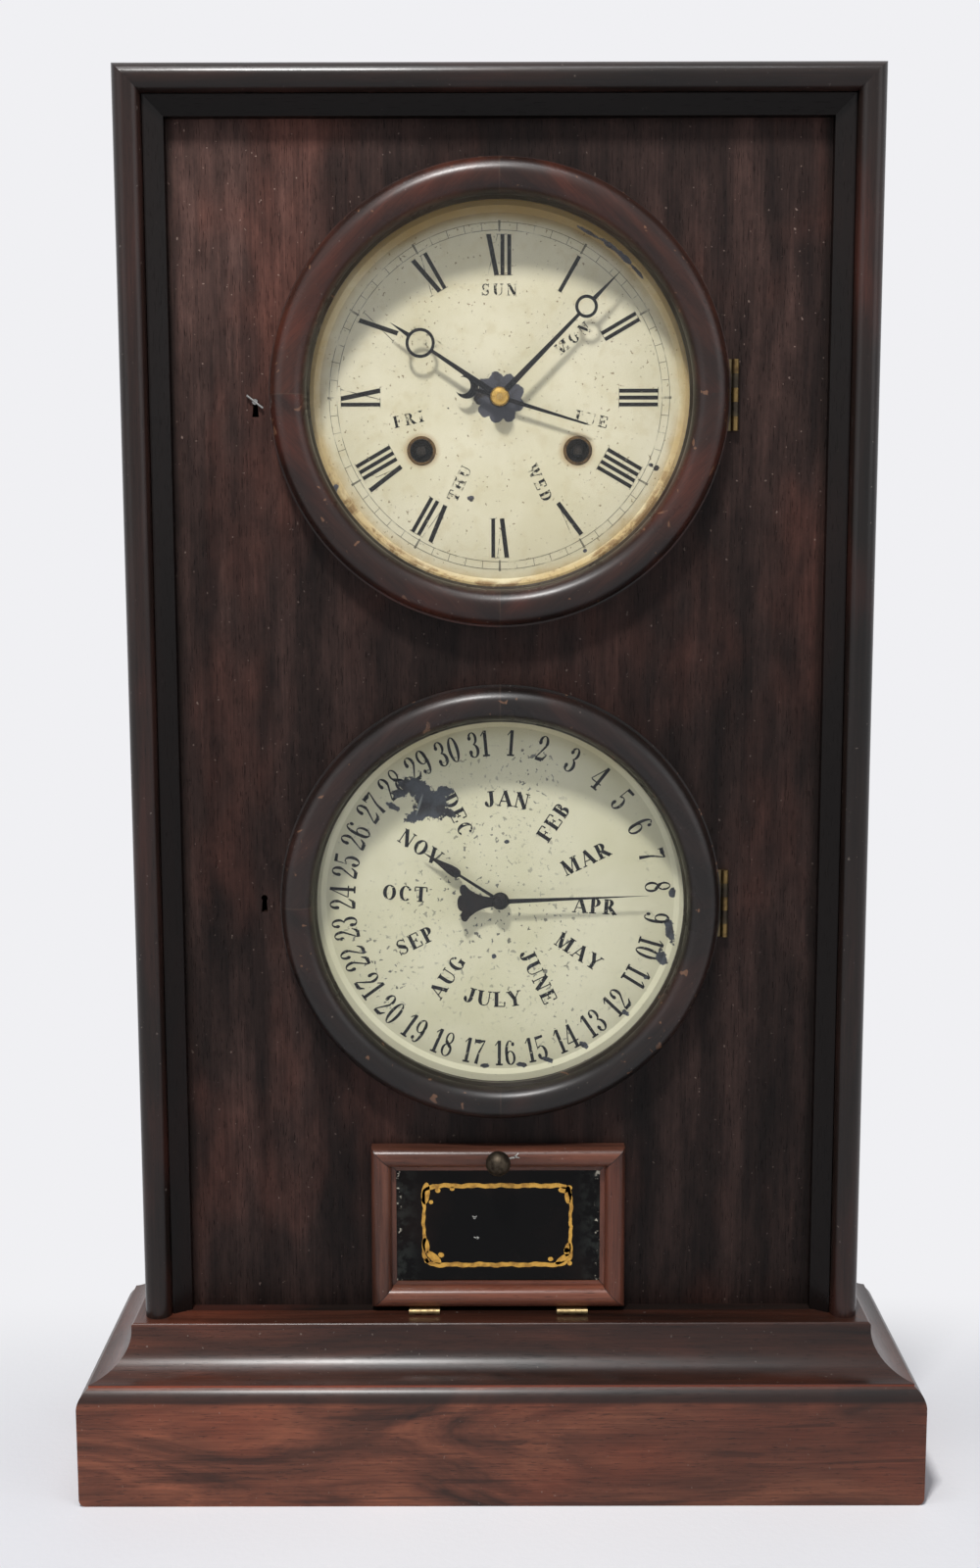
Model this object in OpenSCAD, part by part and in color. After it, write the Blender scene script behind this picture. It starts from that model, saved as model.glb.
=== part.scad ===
/* [Case] */
// Height from the floor to the top of the case
case_h = 781; // [700:1:900]
// Width of the case over its sides
case_w = 406; // [380:1:460]
// Depth from the front of the panel to the back of the case
case_depth = 89.5; // [86:0.5:140]
// Thickness of the two side boards
side_t = 13; // [10:0.5:16]
// Thickness of the top board
top_t = 13; // [10:0.5:16]
// Thickness of the back board
back_t = 8; // [5:0.5:10]
// Thickness of the front panel
panel_t = 8; // [6:0.5:9]

/* [Base] */
// Height of the top of the base
base_h = 95; // [85:1:120]
// Thickness of the board under the case
base_board_t = 16; // [12:0.5:20]
// Height of the plinth below the cove
plinth_h = 67; // [55:1:75]
// Thickness of the plinth boards
plinth_t = 20; // [14:1:24]
// How far the plinth stands out past the case
plinth_out = 32.5; // [28:0.5:40]
// How far the foot of the cove stands out past the case
cove_out = 26.5; // [22:0.5:27]
// How far the top edge of the base stands out past the case
ledge_out = 6; // [4:0.5:10]
// Thickness of the ledge at the top of the cove
ledge_t = 4; // [3:0.5:10]
// Height of the rounded top edge of the plinth
plinth_round = 11; // [6:0.5:14]
// Radius of the rounded lower corners of the plinth
plinth_corner = 4; // [1:0.5:8]

/* [Frame moulding] */
// Width of the moulding round the panel
frame_w = 25.4; // [22:0.2:30]
// Height of the half round above the panel
frame_proud = 20; // [16:0.5:24]
// Width of the half round
frame_round_w = 15; // [14:0.5:18]
// Height of the inner slope at its foot
frame_foot = 6.5; // [4:0.5:8]

/* [Bezels] */
// Outer radius of the upper turned ring
bezel_r = 124.8; // [120:0.2:128]
// Outer radius of the lower turned ring
lower_bezel_r = 123.2; // [120:0.2:128]
// Radius of the round sight
sight_r = 102.6; // [98:0.2:104]
// How far the rings stand out from the panel
bezel_proud = 17.5; // [14:0.5:20]
// Width of the thin step at the outer edge
bezel_step = 1.2; // [0.8:0.1:2]
// Height of the axis of the time dial
upper_z = 611; // [605:0.5:616]
// Height of the axis of the calendar dial
lower_z = 331.5; // [326:0.5:336]
// Thickness of the glasses
glass_t = 2; // [1.5:0.1:2.2]
// Width of the rebate that holds each round glass
rebate_w = 5.6; // [4:0.2:7]
// Distance of the bezel hinge axes past the rings
hinge_gap = 2.5; // [2.4:0.1:4]
// Radius of the bezel hinge barrels
barrel_r = 2; // [1.6:0.1:2.2]
// Length of the bezel hinges
hinge_len = 38; // [30:1:44]
// Width of the hinge leaves
leaf_w = 12; // [8:0.5:13]
// Thickness of the hinge leaves
leaf_t = 1; // [0.8:0.1:1]
// Radius of the hinge pins
pin_r = 0.9; // [0.7:0.05:1.1]
// Radial clearance of the hinge pins and pivots
fit_gap = 0.05; // [0.03:0.01:0.1]

/* [Dials] */
// Radius of the rim of the metal dials
dial_r = 113; // [110:0.5:114]
// Thickness of the dial metal
dial_t = 0.6; // [0.5:0.1:0.8]
// Depth of the calendar dial's face behind the back of the panel
dial_sink = 1.4; // [1:0.1:2]
// Depth of the time dial's face behind the back of the panel
time_dial_sink = 4; // [3.6:0.1:4.2]
// Distance of each winding hole from the middle line
wind_x = 43; // [42:0.5:44]
// Distance of the winding holes below the dial axis
wind_drop = 28.5; // [28:0.5:30]
// Radius of the winding holes
wind_r = 6.35; // [6:0.05:6.8]
// Width across the flats of the winding squares
square_w = 4.4; // [4:0.1:4.8]

/* [Hands] */
// Length of the minute hand
minute_len = 93.7; // [85:0.1:96]
// Place of the ring on the minute hand
minute_ring_at = 67; // [60:0.5:70]
// Outer radius of the ring on the minute hand
minute_ring_r = 6.15; // [5:0.05:7]
// Length of the hour hand
hour_len = 71.7; // [65:0.1:76]
// Place of the ring on the hour hand
hour_ring_at = 51.8; // [46:0.1:55]
// Outer radius of the ring on the hour hand
hour_ring_r = 8; // [7:0.1:9]
// Length of the weekday hand
day_len = 52; // [46:0.5:56]
// Length of the date hand
date_len = 84; // [80:0.5:90]
// Length of the month hand
month_len = 52; // [46:0.5:56]
// Angle of the minute hand past twelve
minute_at = 44.6; // [0:0.1:360]
// Angle of the hour hand past twelve
hour_at = 303.7; // [0:0.1:360]
// Angle of the weekday hand past the top
day_at = 107; // [0:0.5:360]
// Angle of the date hand past the top
date_at = 87.8; // [0:0.1:360]
// Angle of the month hand past the top
month_at = 302.8; // [0:0.1:360]
// Thickness of the hands
hand_t = 0.6; // [0.4:0.1:0.7]

/* [Tablet door] */
// Width of the door
door_w = 144.8; // [130:0.2:160]
// Height of the door
door_h = 94.6; // [80:0.2:100]
// Width of the door's rails and stiles
rail_w = 14.2; // [11:0.1:16]
// Thickness of the door
door_t = 12; // [10:0.5:13]
// Middle of the door to the left of the middle line
door_x = -1.5; // [-4:0.5:4]
// Radius of the knob
knob_r = 7; // [6:0.5:8]
// Radius of the door hinge barrels
door_barrel_r = 1.5; // [1.3:0.1:1.8]
// Length of the door hinges
door_hinge_len = 17.5; // [14:0.5:22]
// Distance between the door hinges
door_hinge_span = 84.5; // [70:0.5:100]

/* [Movement] */
// Width of the movement plates
plate_w = 184; // [180:1:190]
// Height of the movement plates
plate_h = 166; // [162:1:172]
// Thickness of the movement plates
plate_t = 2; // [1.5:0.1:2.5]
// Space between the movement plates
plate_gap = 36; // [35:0.5:38]
// Distance from the panel's back to the front plate
plate_behind = 16.6; // [16.4:0.1:18]
// Teeth of the great wheels
great_teeth = 96; // [84:1:104]
// Teeth of the centre wheel
centre_teeth = 72; // [68:1:78]
// Teeth of the third wheel
third_teeth = 70; // [66:1:76]
// Teeth of the escape wheel
escape_teeth = 32; // [28:1:36]
// Trundles of every lantern pinion
trundles = 8; // [7:1:9]
// Module of the centre wheel
centre_module = 0.75; // [0.7:0.01:0.8]
// Module of the third wheel
third_module = 0.6; // [0.55:0.01:0.62]
// Height of the escape arbor above the centre arbor
escape_rise = 45; // [42:0.5:48]
// Radius of the escape wheel
escape_r = 17; // [15:0.5:18]
// Height of the verge above the escape arbor
verge_rise = 23.5; // [22:0.5:26]
// Teeth of the great wheel of the striking side
strike_teeth = 84; // [78:1:90]
// Teeth of the pin wheel
pin_teeth = 60; // [54:1:64]
// Pins on the pin wheel
pin_count = 8; // [6:1:9]
// Gap between a trundle and the flanks of a tooth space
tooth_gap = 0.1; // [0.08:0.01:0.14]

/* [Pendulum] */
// Length of the crutch that hangs from the verge
crutch_len = 56; // [54:0.5:58]
// Distance from the suspension to the middle of the bob
pendulum_len = 507; // [480:1:520]
// Radius of the bob
bob_r = 27; // [20:0.5:32]
// Thickness of the bob
bob_t = 12; // [8:0.5:13]
// Radius of the rod
rod_r = 1.2; // [1:0.1:1.6]

/* [Gong] */
// Radius of the outer turn of the gong
gong_r = 44; // [36:1:48]
// Radius of the gong wire
gong_wire = 1.5; // [1:0.1:1.8]

/* [Hidden] */
$fn = 48;

// Planes from front to back: the case is centred on its depth
total_depth = case_depth + frame_proud + plinth_out;
back_y = total_depth / 2;
panel_y = back_y - case_depth;
frame_y = panel_y - frame_proud;
inner_w = case_w - 2 * side_t;
inner_top = case_h - top_t;
case_r = case_w / 2;

// Planes of the dial work, measured back from the front of the panel
glass_back = 1.2;
minute_p = 3.7;
hour_p = 5.6;
day_p = 7.3;
dial_p = panel_t + dial_sink;
time_dial_p = panel_t + time_dial_sink;
star_p = time_dial_p + 1.6;
hour_wheel_p = star_p + 2.4;
cannon_p = hour_wheel_p + 2.8;
wheel_t = 1.4;
great_t = 2.4;

// Pivots and arbors
plate_at = panel_t + plate_behind;
arbor_r = 1.5;
hour_pipe_r = 2.4;
hour_pipe_bore = arbor_r + 0.55;
run = 0.3;

// Motion work: both pairs share one centre distance and give twelve to one
motion_minute_teeth = 24;
motion_hour_teeth = 32;
motion_minute_module = 1;
motion_hour_module = 0.8;
motion_reach = motion_minute_module * (trundles + motion_minute_teeth) / 2;
motion_angle = 250;

// Train geometry
great_reach = norm([wind_x, wind_drop]);
great_module = 2 * great_reach / (great_teeth + trundles);
great_angle = atan2(wind_drop, -wind_x);
centre_reach = centre_module * (centre_teeth + trundles) / 2;
third_reach = third_module * (third_teeth + trundles) / 2;
third_lean = acos((centre_reach * centre_reach + escape_rise * escape_rise
    - third_reach * third_reach) / (2 * centre_reach * escape_rise));
third_x = centre_reach * sin(third_lean);
third_z = upper_z + centre_reach * cos(third_lean);
escape_z = upper_z + escape_rise;
verge_z = escape_z + verge_rise;
plate_back_at = plate_at + plate_t + plate_gap;
plate_low_z = upper_z - wind_drop - great_reach - 4;
pillar_x = plate_w / 2 - 8;
pillar_r = 4;
pendulum_p = plate_back_at + plate_t + 7;

// Values that several pieces share
base_lap = 12;
opening_r = sight_r + 3;
hinge_seat = barrel_r + run;
door_seat = door_barrel_r + run;
door_leaf_t = 0.8;
door_leaf_reach = 10;
door_axis_y = panel_y - door_t - door_barrel_r - run;
door_low = base_h + door_seat + 0.1;
door_rebate_w = 4;
door_rebate_t = 4;
sight_w = door_w - 2 * rail_w;
knob_c = [door_x, door_low + door_h - (rail_w - 2.6) / 2];
knob_stem = 6;
knob_stem_r = 2;
latch_x = -132.5;
upper_latch_z = upper_z - 3;
lower_latch_z = lower_z + 3;
keyhole_r = 1.8;
grommet_wall = 0.8;
wind_z = upper_z - wind_drop;
wind_arbor_r = 3;
stud_r = 1.2;
pivot_r = 0.8;
cannon_r = 1.95;
day_pipe_r = 3.2;
great_p = plate_at + plate_t + 3;
ratchet_tip = 11;
spring_p = great_p + great_t + 1;
spring_w = 18;
spring_r = 24;
third_p = plate_at + plate_t + 10;
centre_p = spring_p + spring_w + 1.2;
escape_p = plate_back_at - 5;
calendar_back_at = plate_at + plate_t + 14;
crutch_p = plate_back_at + plate_t + 1.5;
verge_clear = 1.3;
pillar_low_z = plate_low_z + 8;

// Striking side
pin_wheel_c = [-34, upper_z + 16.2];
pin_wheel_p = plate_at + plate_t + 2;
pin_module = 0.75;
pin_circle_r = 17;
pin_turn = 10;
hammer_pin_r = 0.8;
hammer_c = [-70, upper_z + 7];
head_r = 2.5;
strike_p = plate_back_at - 7;
strike_reach = pin_wheel_c - [-wind_x, wind_z];
strike_module = 2 * norm(strike_reach) / (strike_teeth + trundles);
strike_angle = atan2(strike_reach[1], strike_reach[0]);
pivots = [[third_x, third_z], [0, escape_z], [0, verge_z], pin_wheel_c, hammer_c];

// Gong
gong_x = -62;
gong_z = 470;
gong_p = case_depth - back_t - 5;
gong_turns = 3.5;
gong_first_r = 6;
gong_side_r = gong_first_r + (gong_r - gong_first_r) * (gong_turns - 0.5) / gong_turns;

// A block given by its ranges along x, y and z
module block(x, y, z) {
    translate([x[0], y[0], z[0]]) cube([x[1] - x[0], y[1] - y[0], z[1] - z[0]]);
}
// The part of the base that lies beyond the mitre at the right front corner
module base_mitre() {
    translate([case_r, frame_y, -1]) rotate([0, 0, 45])
        translate([0, -total_depth, 0]) cube([total_depth, 2 * total_depth, case_h]);
}

// The lower corners of the plinth, seen from the front, which are rounded off
module plinth_corners() {
    reach = case_r + plinth_out;
    for (sx = [0, 1]) mirror([sx, 0, 0]) difference() {
        block([reach - plinth_corner, reach + 1], [-total_depth, total_depth], [-1, plinth_corner]);
        translate([reach - plinth_corner, 0, plinth_corner]) rotate([90, 0, 0])
            cylinder(h = 3 * total_depth, r = plinth_corner, center = true);
    }
}

// Profile of the base moulding: out from the case, and up
module base_profile() {
    plinth_profile();
    cove_profile();
    ledge_profile();
}

module plinth_profile() {
    edge = plinth_out - cove_out;
    arc = (edge * edge + plinth_round * plinth_round) / (2 * edge);
    shoulder = plinth_h - plinth_round;
    inner = plinth_out - plinth_t;
    translate([inner, 0]) square([plinth_t, shoulder]);
    translate([inner, 0]) square([max(plinth_out - arc - inner, 1), plinth_h]);
    intersection() {
        translate([inner, shoulder]) square([plinth_t, plinth_round]);
        translate([plinth_out - arc, shoulder]) circle(r = arc, $fn = 96);
    }
}

module cove_profile() {
    hollow_in = ledge_out;
    hollow_top = base_h - ledge_t;
    wide = cove_out - hollow_in;
    high = hollow_top - plinth_h - 1.5;
    arc = (wide * wide + high * high) / (2 * wide);
    difference() {
        translate([-base_lap, plinth_h]) square([base_lap + cove_out, base_h - ledge_t - plinth_h]);
        translate([hollow_in + arc, hollow_top]) circle(r = arc, $fn = 96);
    }
}

module ledge_profile() {
    round_r = ledge_t * 0.4;
    low = base_h - ledge_t;
    translate([-base_lap, low]) square([base_lap + ledge_out - round_r, ledge_t]);
    translate([-base_lap, low]) square([base_lap + ledge_out, ledge_t - round_r]);
    translate([ledge_out - round_r, base_h - round_r]) circle(r = round_r);
}

module base_front() {
    length = case_w + 2 * plinth_out;
    color("#5a2f26") difference() {
        translate([-length / 2, frame_y, 0]) mirror([0, 1, 0])
            rotate([90, 0, 90]) linear_extrude(length) base_profile();
        base_mitre();
        mirror([1, 0, 0]) base_mitre();
        plinth_corners();
    }
}

module base_right() {
    color("#5a2f26") difference() {
        intersection() {
            translate([case_r, back_y, 0]) rotate([90, 0, 0])
                linear_extrude(total_depth) base_profile();
            base_mitre();
        }
        plinth_corners();
    }
}

module base_left() {
    mirror([1, 0, 0]) base_right();
}

module base_board() {
    reach = case_r - base_lap;
    color("#4a3228") block([-reach, reach], [frame_y + base_lap, back_y],
        [base_h - base_board_t, base_h]);
}

module side_right() {
    color("#43241f") block([case_r - side_t, case_r], [panel_y, back_y], [base_h, case_h]);
}

module side_left() {
    mirror([1, 0, 0]) side_right();
}

module top_board() {
    color("#43241f") block([-inner_w / 2, inner_w / 2], [panel_y, back_y], [inner_top, case_h]);
}

module back_board() {
    color("#5b4030") block([-inner_w / 2, inner_w / 2], [back_y - back_t, back_y],
        [base_h, inner_top]);
}

// The front panel with its two dial openings, the doorway and the keyholes
module front_panel() {
    color("#3d2420") difference() {
        block([-inner_w / 2, inner_w / 2], [panel_y, panel_y + panel_t], [base_h, inner_top]);
        for (z = [upper_z, lower_z]) spindle([0, z], -1, panel_t + 1, opening_r);
        for (z = [upper_latch_z, lower_latch_z]) keyhole(z);
        block([door_x - sight_w / 2 - 1, door_x + sight_w / 2 + 1],
            [panel_y - 1, panel_y + panel_t + 1],
            [door_low + rail_w - 1, door_low + door_h - rail_w + 1]);
    }
}

module keyhole(z) {
    spindle([latch_x, z], -1, panel_t + 1, keyhole_r);
    slab(-1, panel_t + 1) polygon([
        [latch_x - keyhole_r * 0.6, z], [latch_x + keyhole_r * 0.6, z],
        [latch_x + keyhole_r, z - 8], [latch_x - keyhole_r, z - 8]]);
}

// Profile of the frame moulding: in from the outer edge, and up from the panel
module frame_profile() {
    half = frame_round_w / 2;
    bead = frame_foot + (frame_w - frame_round_w) * 0.55;
    square([frame_round_w, frame_proud - half]);
    translate([half, frame_proud - half]) circle(r = half, $fn = 96);
    polygon([[frame_round_w - 1, 0], [frame_w, 0], [frame_w, frame_foot],
        [frame_round_w + 1.2, bead], [frame_round_w + 0.4, bead],
        [frame_round_w, bead - 1], [frame_round_w - 1, bead - 1]]);
}

// The part of the frame that lies above the mitre at the right top corner
module frame_mitre() {
    translate([case_r, frame_y - 1, case_h]) rotate([0, -45, 0])
        translate([-case_h, 0, 0]) cube([2 * case_h, frame_proud + 2, case_h]);
}

module frame_right() {
    color("#3a201d") difference() {
        translate([case_r, panel_y, base_h]) rotate([0, 0, 180])
            linear_extrude(case_h - base_h) frame_profile();
        frame_mitre();
    }
}

module frame_left() {
    mirror([1, 0, 0]) frame_right();
}

module frame_top() {
    color("#3a201d") intersection() {
        translate([-case_r, panel_y, case_h]) mirror([0, 1, 0])
            rotate([0, 90, 0]) linear_extrude(case_w) frame_profile();
        frame_mitre();
        mirror([1, 0, 0]) frame_mitre();
    }
}

// A flat shape in x and z made solid between two depths behind the panel's front
module slab(p0, p1) {
    translate([0, panel_y + p1, 0]) rotate([90, 0, 0]) linear_extrude(p1 - p0) children();
}

// A round bar that lies front to back
module spindle(c, p0, p1, r) {
    translate([c[0], panel_y + p1, c[1]]) rotate([90, 0, 0]) cylinder(h = p1 - p0, r = r);
}

// A turned shape whose profile gives radius and height above the panel's front
module turned(c) {
    translate([c[0], panel_y, c[1]]) rotate([90, 0, 0]) rotate_extrude($fn = 144) children();
}

// A metal dial: a flat face with a flared rim that lies on the back of the panel
module dial_pan(z, hole, face) {
    flat_r = sight_r - 4;
    flare = 3;
    turned([0, z]) mirror([0, 1]) polygon([
        [hole, face], [flat_r, face], [flat_r + flare, panel_t], [dial_r, panel_t],
        [dial_r, panel_t + dial_t], [flat_r + flare + 0.4, panel_t + dial_t],
        [flat_r + 0.4, face + dial_t], [hole, face + dial_t]]);
}

module dial_time() {
    color("#d8d2b4") difference() {
        dial_pan(upper_z, day_pipe_r + run, time_dial_p);
        for (sx = [-1, 1])
            spindle([sx * wind_x, wind_z], panel_t, time_dial_p + 2, wind_r + grommet_wall);
    }
}

module dial_calendar() {
    color("#d4cdac") dial_pan(lower_z, hour_pipe_r + run, dial_p);
}

// Brass eyelets in the winding holes, with a lip on the face of the dial
module dial_grommets() {
    color("#8d7440") for (sx = [-1, 1]) turned([sx * wind_x, wind_z])
        mirror([0, 1]) polygon([
            [wind_r, time_dial_p - 0.5], [wind_r + 1.2, time_dial_p - 0.5], [wind_r + 1.6, time_dial_p],
            [wind_r + grommet_wall, time_dial_p], [wind_r + grommet_wall, time_dial_p + dial_t + 0.8],
            [wind_r, time_dial_p + dial_t + 0.8]]);
}

// A turned wooden ring with a rebate for the glass and a recess for the hinge
module bezel(z, ring_r) {
    inner = sight_r + 1.4;
    outer = ring_r - bezel_step;
    half = (outer - inner) / 2;
    crown = bezel_proud - half;
    rebate = glass_back + glass_t;
    difference() {
        turned([0, z]) difference() {
            union() {
                intersection() {
                    translate([inner + half, crown]) circle(r = half, $fn = 96);
                    translate([inner, crown - 1]) square([2 * half, half + 1]);
                }
                translate([inner, run]) square([2 * half, crown - run]);
                translate([outer - 1, run]) square([bezel_step + 1, 3.5]);
                polygon([[sight_r, run], [inner + 1, run], [inner + 1, crown],
                    [inner, crown], [sight_r, crown - 3]]);
            }
            square([sight_r + rebate_w, rebate]);
        }
        block([ring_r - leaf_w - run, ring_r + 1],
            [panel_y - hinge_seat - 0.1, panel_y + 1],
            [z - hinge_len / 2 - run, z + hinge_len / 2 + run]);
    }
}

module bezel_upper() {
    color("#3a2522") bezel(upper_z, bezel_r);
}

module bezel_lower() {
    color("#3a2522") bezel(lower_z, lower_bezel_r);
}

module round_glass(z) {
    spindle([0, z], -glass_back - glass_t, -glass_back, sight_r + rebate_w - run);
}

module glass_upper() {
    color("#c8d6d2", 0.3) round_glass(upper_z);
}

module glass_lower() {
    color("#c8d6d2", 0.3) round_glass(lower_z);
}

// One half of a butt hinge on an upright axis, its leaf running to the left
module hinge_half(length, r, reach, t, fixed) {
    knuckles = 5;
    step = length / knuckles;
    seat = r + run;
    leaf = fixed ? [seat - t, seat] : [-0.1, t - 0.1];
    difference() {
        union() {
            block([-reach, -r - run], leaf, [-length / 2, length / 2]);
            for (i = [0:knuckles - 1]) if ((i % 2 == 0) == fixed) {
                low = -length / 2 + i * step + 0.05;
                translate([0, 0, low]) cylinder(h = step - 0.1, r = r);
                block([-r - run - 0.5, 0], leaf, [low, low + step - 0.1]);
            }
        }
        if (!fixed) translate([0, 0, -length / 2 - 1])
            cylinder(h = length + 2, r = pin_r + fit_gap);
    }
    if (fixed) translate([0, 0, -length / 2]) cylinder(h = length, r = pin_r);
}

module at_bezel_hinge(z, ring_r) {
    translate([ring_r + hinge_gap, panel_y - hinge_seat, z]) children();
}

module bezel_hinge_leaves() {
    color("#6d5a34") {
        at_bezel_hinge(upper_z, bezel_r)
            hinge_half(hinge_len, barrel_r, leaf_w + hinge_gap, leaf_t, true);
        at_bezel_hinge(lower_z, lower_bezel_r)
            hinge_half(hinge_len, barrel_r, leaf_w + hinge_gap, leaf_t, true);
    }
}

module leaf_upper() {
    color("#6d5a34") at_bezel_hinge(upper_z, bezel_r)
        hinge_half(hinge_len, barrel_r, leaf_w + hinge_gap, leaf_t, false);
}

module leaf_lower() {
    color("#6d5a34") at_bezel_hinge(lower_z, lower_bezel_r)
        hinge_half(hinge_len, barrel_r, leaf_w + hinge_gap, leaf_t, false);
}

module at_door_hinges() {
    for (sx = [-1, 1])
        translate([door_x + sx * door_hinge_span / 2, door_axis_y, base_h + door_seat])
            rotate([-90, 0, 0]) rotate([0, 90, 0]) children();
}

module door_hinge_leaves() {
    color("#9b7d3c") at_door_hinges()
        hinge_half(door_hinge_len, door_barrel_r, door_leaf_reach, door_leaf_t, true);
}

module door_leaves() {
    color("#9b7d3c") at_door_hinges()
        hinge_half(door_hinge_len, door_barrel_r, door_leaf_reach, door_leaf_t, false);
}

// Profile of the door's mouldings: in from the outer edge, and up from the panel
module rail_profile() {
    half = (rail_w - 2.6) / 2;
    crown = door_t - half;
    difference() {
        union() {
            square([2 * half, crown]);
            translate([half, crown]) circle(r = half, $fn = 64);
            square([rail_w, crown - 1]);
        }
        translate([rail_w - door_rebate_w, -1]) square([door_rebate_w + 1, door_rebate_t + 1]);
    }
}

// One mitred length of the door's moulding, its outer edge down
module door_rail(length) {
    intersection() {
        translate([-length / 2, 0, 0]) rotate([90, 0, 90]) linear_extrude(length)
            rotate([0, 0, 90]) rail_profile();
        translate([0, door_t + 1, 0]) rotate([90, 0, 0]) linear_extrude(2 * door_t + 2)
            polygon([[-length / 2, 0], [length / 2, 0],
                [length / 2 - rail_w, rail_w], [-length / 2 + rail_w, rail_w]]);
    }
}

module door_frame() {
    color("#4a2b25") difference() {
        translate([door_x, panel_y, door_low + door_h / 2]) {
            for (turn = [0, 180]) rotate([0, turn, 0]) translate([0, 0, -door_h / 2])
                door_rail(door_w);
            for (turn = [90, 270]) rotate([0, turn, 0]) translate([0, 0, -door_w / 2])
                door_rail(door_h);
        }
        spindle(knob_c, -door_t - 1, knob_stem - door_t, knob_stem_r + 0.02);
    }
}

module door_glass() {
    wide = (sight_w + 2 * door_rebate_w) / 2 - run;
    high = (door_h - 2 * rail_w + 2 * door_rebate_w) / 2 - run;
    middle = door_low + door_h / 2;
    color("#14110f") block([door_x - wide, door_x + wide],
        [panel_y - door_rebate_t, panel_y - door_rebate_t + glass_t],
        [middle - high, middle + high]);
}

// The turned knob on the top rail, its stem in a bore
module door_knob() {
    seat = door_t + 0.05;
    neck = 2;
    color("#5a4a32") turned(knob_c) {
        translate([0, door_t - knob_stem + 0.2]) square([knob_stem_r, knob_stem]);
        translate([0, seat]) square([knob_r * 0.5, neck + 1]);
        intersection() {
            translate([0, seat + neck + knob_r * 0.55]) circle(r = knob_r, $fn = 64);
            translate([0, seat + neck]) square([knob_r, 2 * knob_r]);
        }
    }
}

// Bent wire catch that turns in the upper keyhole
module latch_hook() {
    reach = 5.5;
    color("#8f8f8c") {
        spindle([latch_x, upper_latch_z], -1.6, panel_t - 1, keyhole_r - run);
        translate([latch_x, panel_y - 1.6, upper_latch_z]) rotate([0, 38, 0])
            translate([-reach, 0, 0]) rotate([0, 90, 0]) cylinder(h = 2 * reach, r = 0.65);
    }
}

// One flank point of a tooth space: the path of a trundle, set off by its radius
function trundle_path(big, small, t) =
    let (k = (big + small) / small)
    [(big + small) * cos(t) - small * cos(k * t), (big + small) * sin(t) - small * sin(k * t)];
function flank(big, small, off, t) =
    let (lean = ((big + small) / small + 1) * t / 2)
    trundle_path(big, small, t) + off * [-sin(lean), cos(lean)];
function spin(p, a) = [p[0] * cos(a) - p[1] * sin(a), p[0] * sin(a) + p[1] * cos(a)];

// The outline of a wheel whose tooth spaces take the trundles of a lantern pinion
function space_points(big, small, off) = concat(
    [for (roll = [45, 24, 0]) let (p = flank(big, small, off, roll * small / big)) [p[0], -p[1]]],
    [for (a = [-135, 180, 135]) [big + off * cos(a), off * sin(a)]],
    [for (roll = [0, 24, 45]) flank(big, small, off, roll * small / big)]);
function wheel_points(teeth, small, module_mm) =
    let (big = teeth * module_mm / 2, space = space_points(big, small, trundle_r(module_mm) + tooth_gap))
    [for (i = [0:teeth - 1]) for (p = space) spin(p, i * 360 / teeth)];
function trundle_r(module_mm) = 0.6 * module_mm;

module crossings(outer, hub, arm) {
    difference() {
        circle(r = outer);
        circle(r = hub);
        for (a = [45, 135]) rotate([0, 0, a]) square([2 * outer, arm], center = true);
    }
}

module wheel_2d(teeth, module_mm, bore, rim, hub) {
    big = teeth * module_mm / 2;
    difference() {
        polygon(wheel_points(teeth, trundles * module_mm / 2, module_mm));
        if (bore > 0) circle(r = bore);
        if (hub > 0) crossings(big - rim, hub, 4);
    }
}

// A lantern pinion: round trundles between two caps
module lantern(c, p0, p1, module_mm, turn) {
    cap = 0.7;
    reach = trundles * module_mm / 2;
    for (p = [p0, p1 - cap]) spindle(c, p, p + cap, reach + trundle_r(module_mm) + 0.5);
    for (i = [0:trundles - 1])
        spindle(c + spin([reach, 0], turn + i * 360 / trundles), p0, p1, trundle_r(module_mm));
}

module wheel_at(c, p, t, turn) {
    slab(p, p + t) translate(c) rotate([0, 0, turn]) children();
}

function arc(c, r, from, to, n) = [for (i = [0:n]) c + spin([r, 0], from + (to - from) * i / n)];

// A slim hand with a pierced ring, drawn pointing up
module ring_hand(length, ring_at, ring_r, hub, bore) {
    ring_w = 1.7;
    root = asin(1.7 / hub);
    neck = asin(0.9 / ring_r);
    brow = asin(1.2 / ring_r);
    ring_c = [0, ring_at];
    difference() {
        polygon(concat(arc([0, 0], hub, 90 + root, 450 - root, 24),
            arc(ring_c, ring_r, neck - 90, 90 - brow, 12), [[0, length]],
            arc(ring_c, ring_r, 90 + brow, 270 - neck, 12)));
        translate(ring_c) circle(r = ring_r - ring_w);
        circle(r = bore);
    }
}

module hand_at(z, p, angle) {
    slab(p - hand_t, p) translate([0, z]) rotate([0, 0, -angle]) children();
}

module minute_hand() {
    color("#20242c") hand_at(upper_z, minute_p, minute_at)
        ring_hand(minute_len, minute_ring_at, minute_ring_r, 4.6, cannon_r + 0.02);
}

module hour_hand() {
    color("#20242c") hand_at(upper_z, hour_p, hour_at)
        ring_hand(hour_len, hour_ring_at, hour_ring_r, 5.4, hour_pipe_r + 0.02);
}

// The domed brass nut that holds the minute hand
module hand_nut() {
    low = minute_p - hand_t;
    color("#a8864a") turned([0, upper_z]) mirror([0, 1]) difference() {
        polygon([[0, low], [5.2, low], [5.2, low - 0.5], [4.4, low - 1.3],
            [2.6, low - 1.8], [0, low - 1.9]]);
        translate([-1, 0]) square([arbor_r + fit_gap + 1, low + 1]);
    }
}

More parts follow.
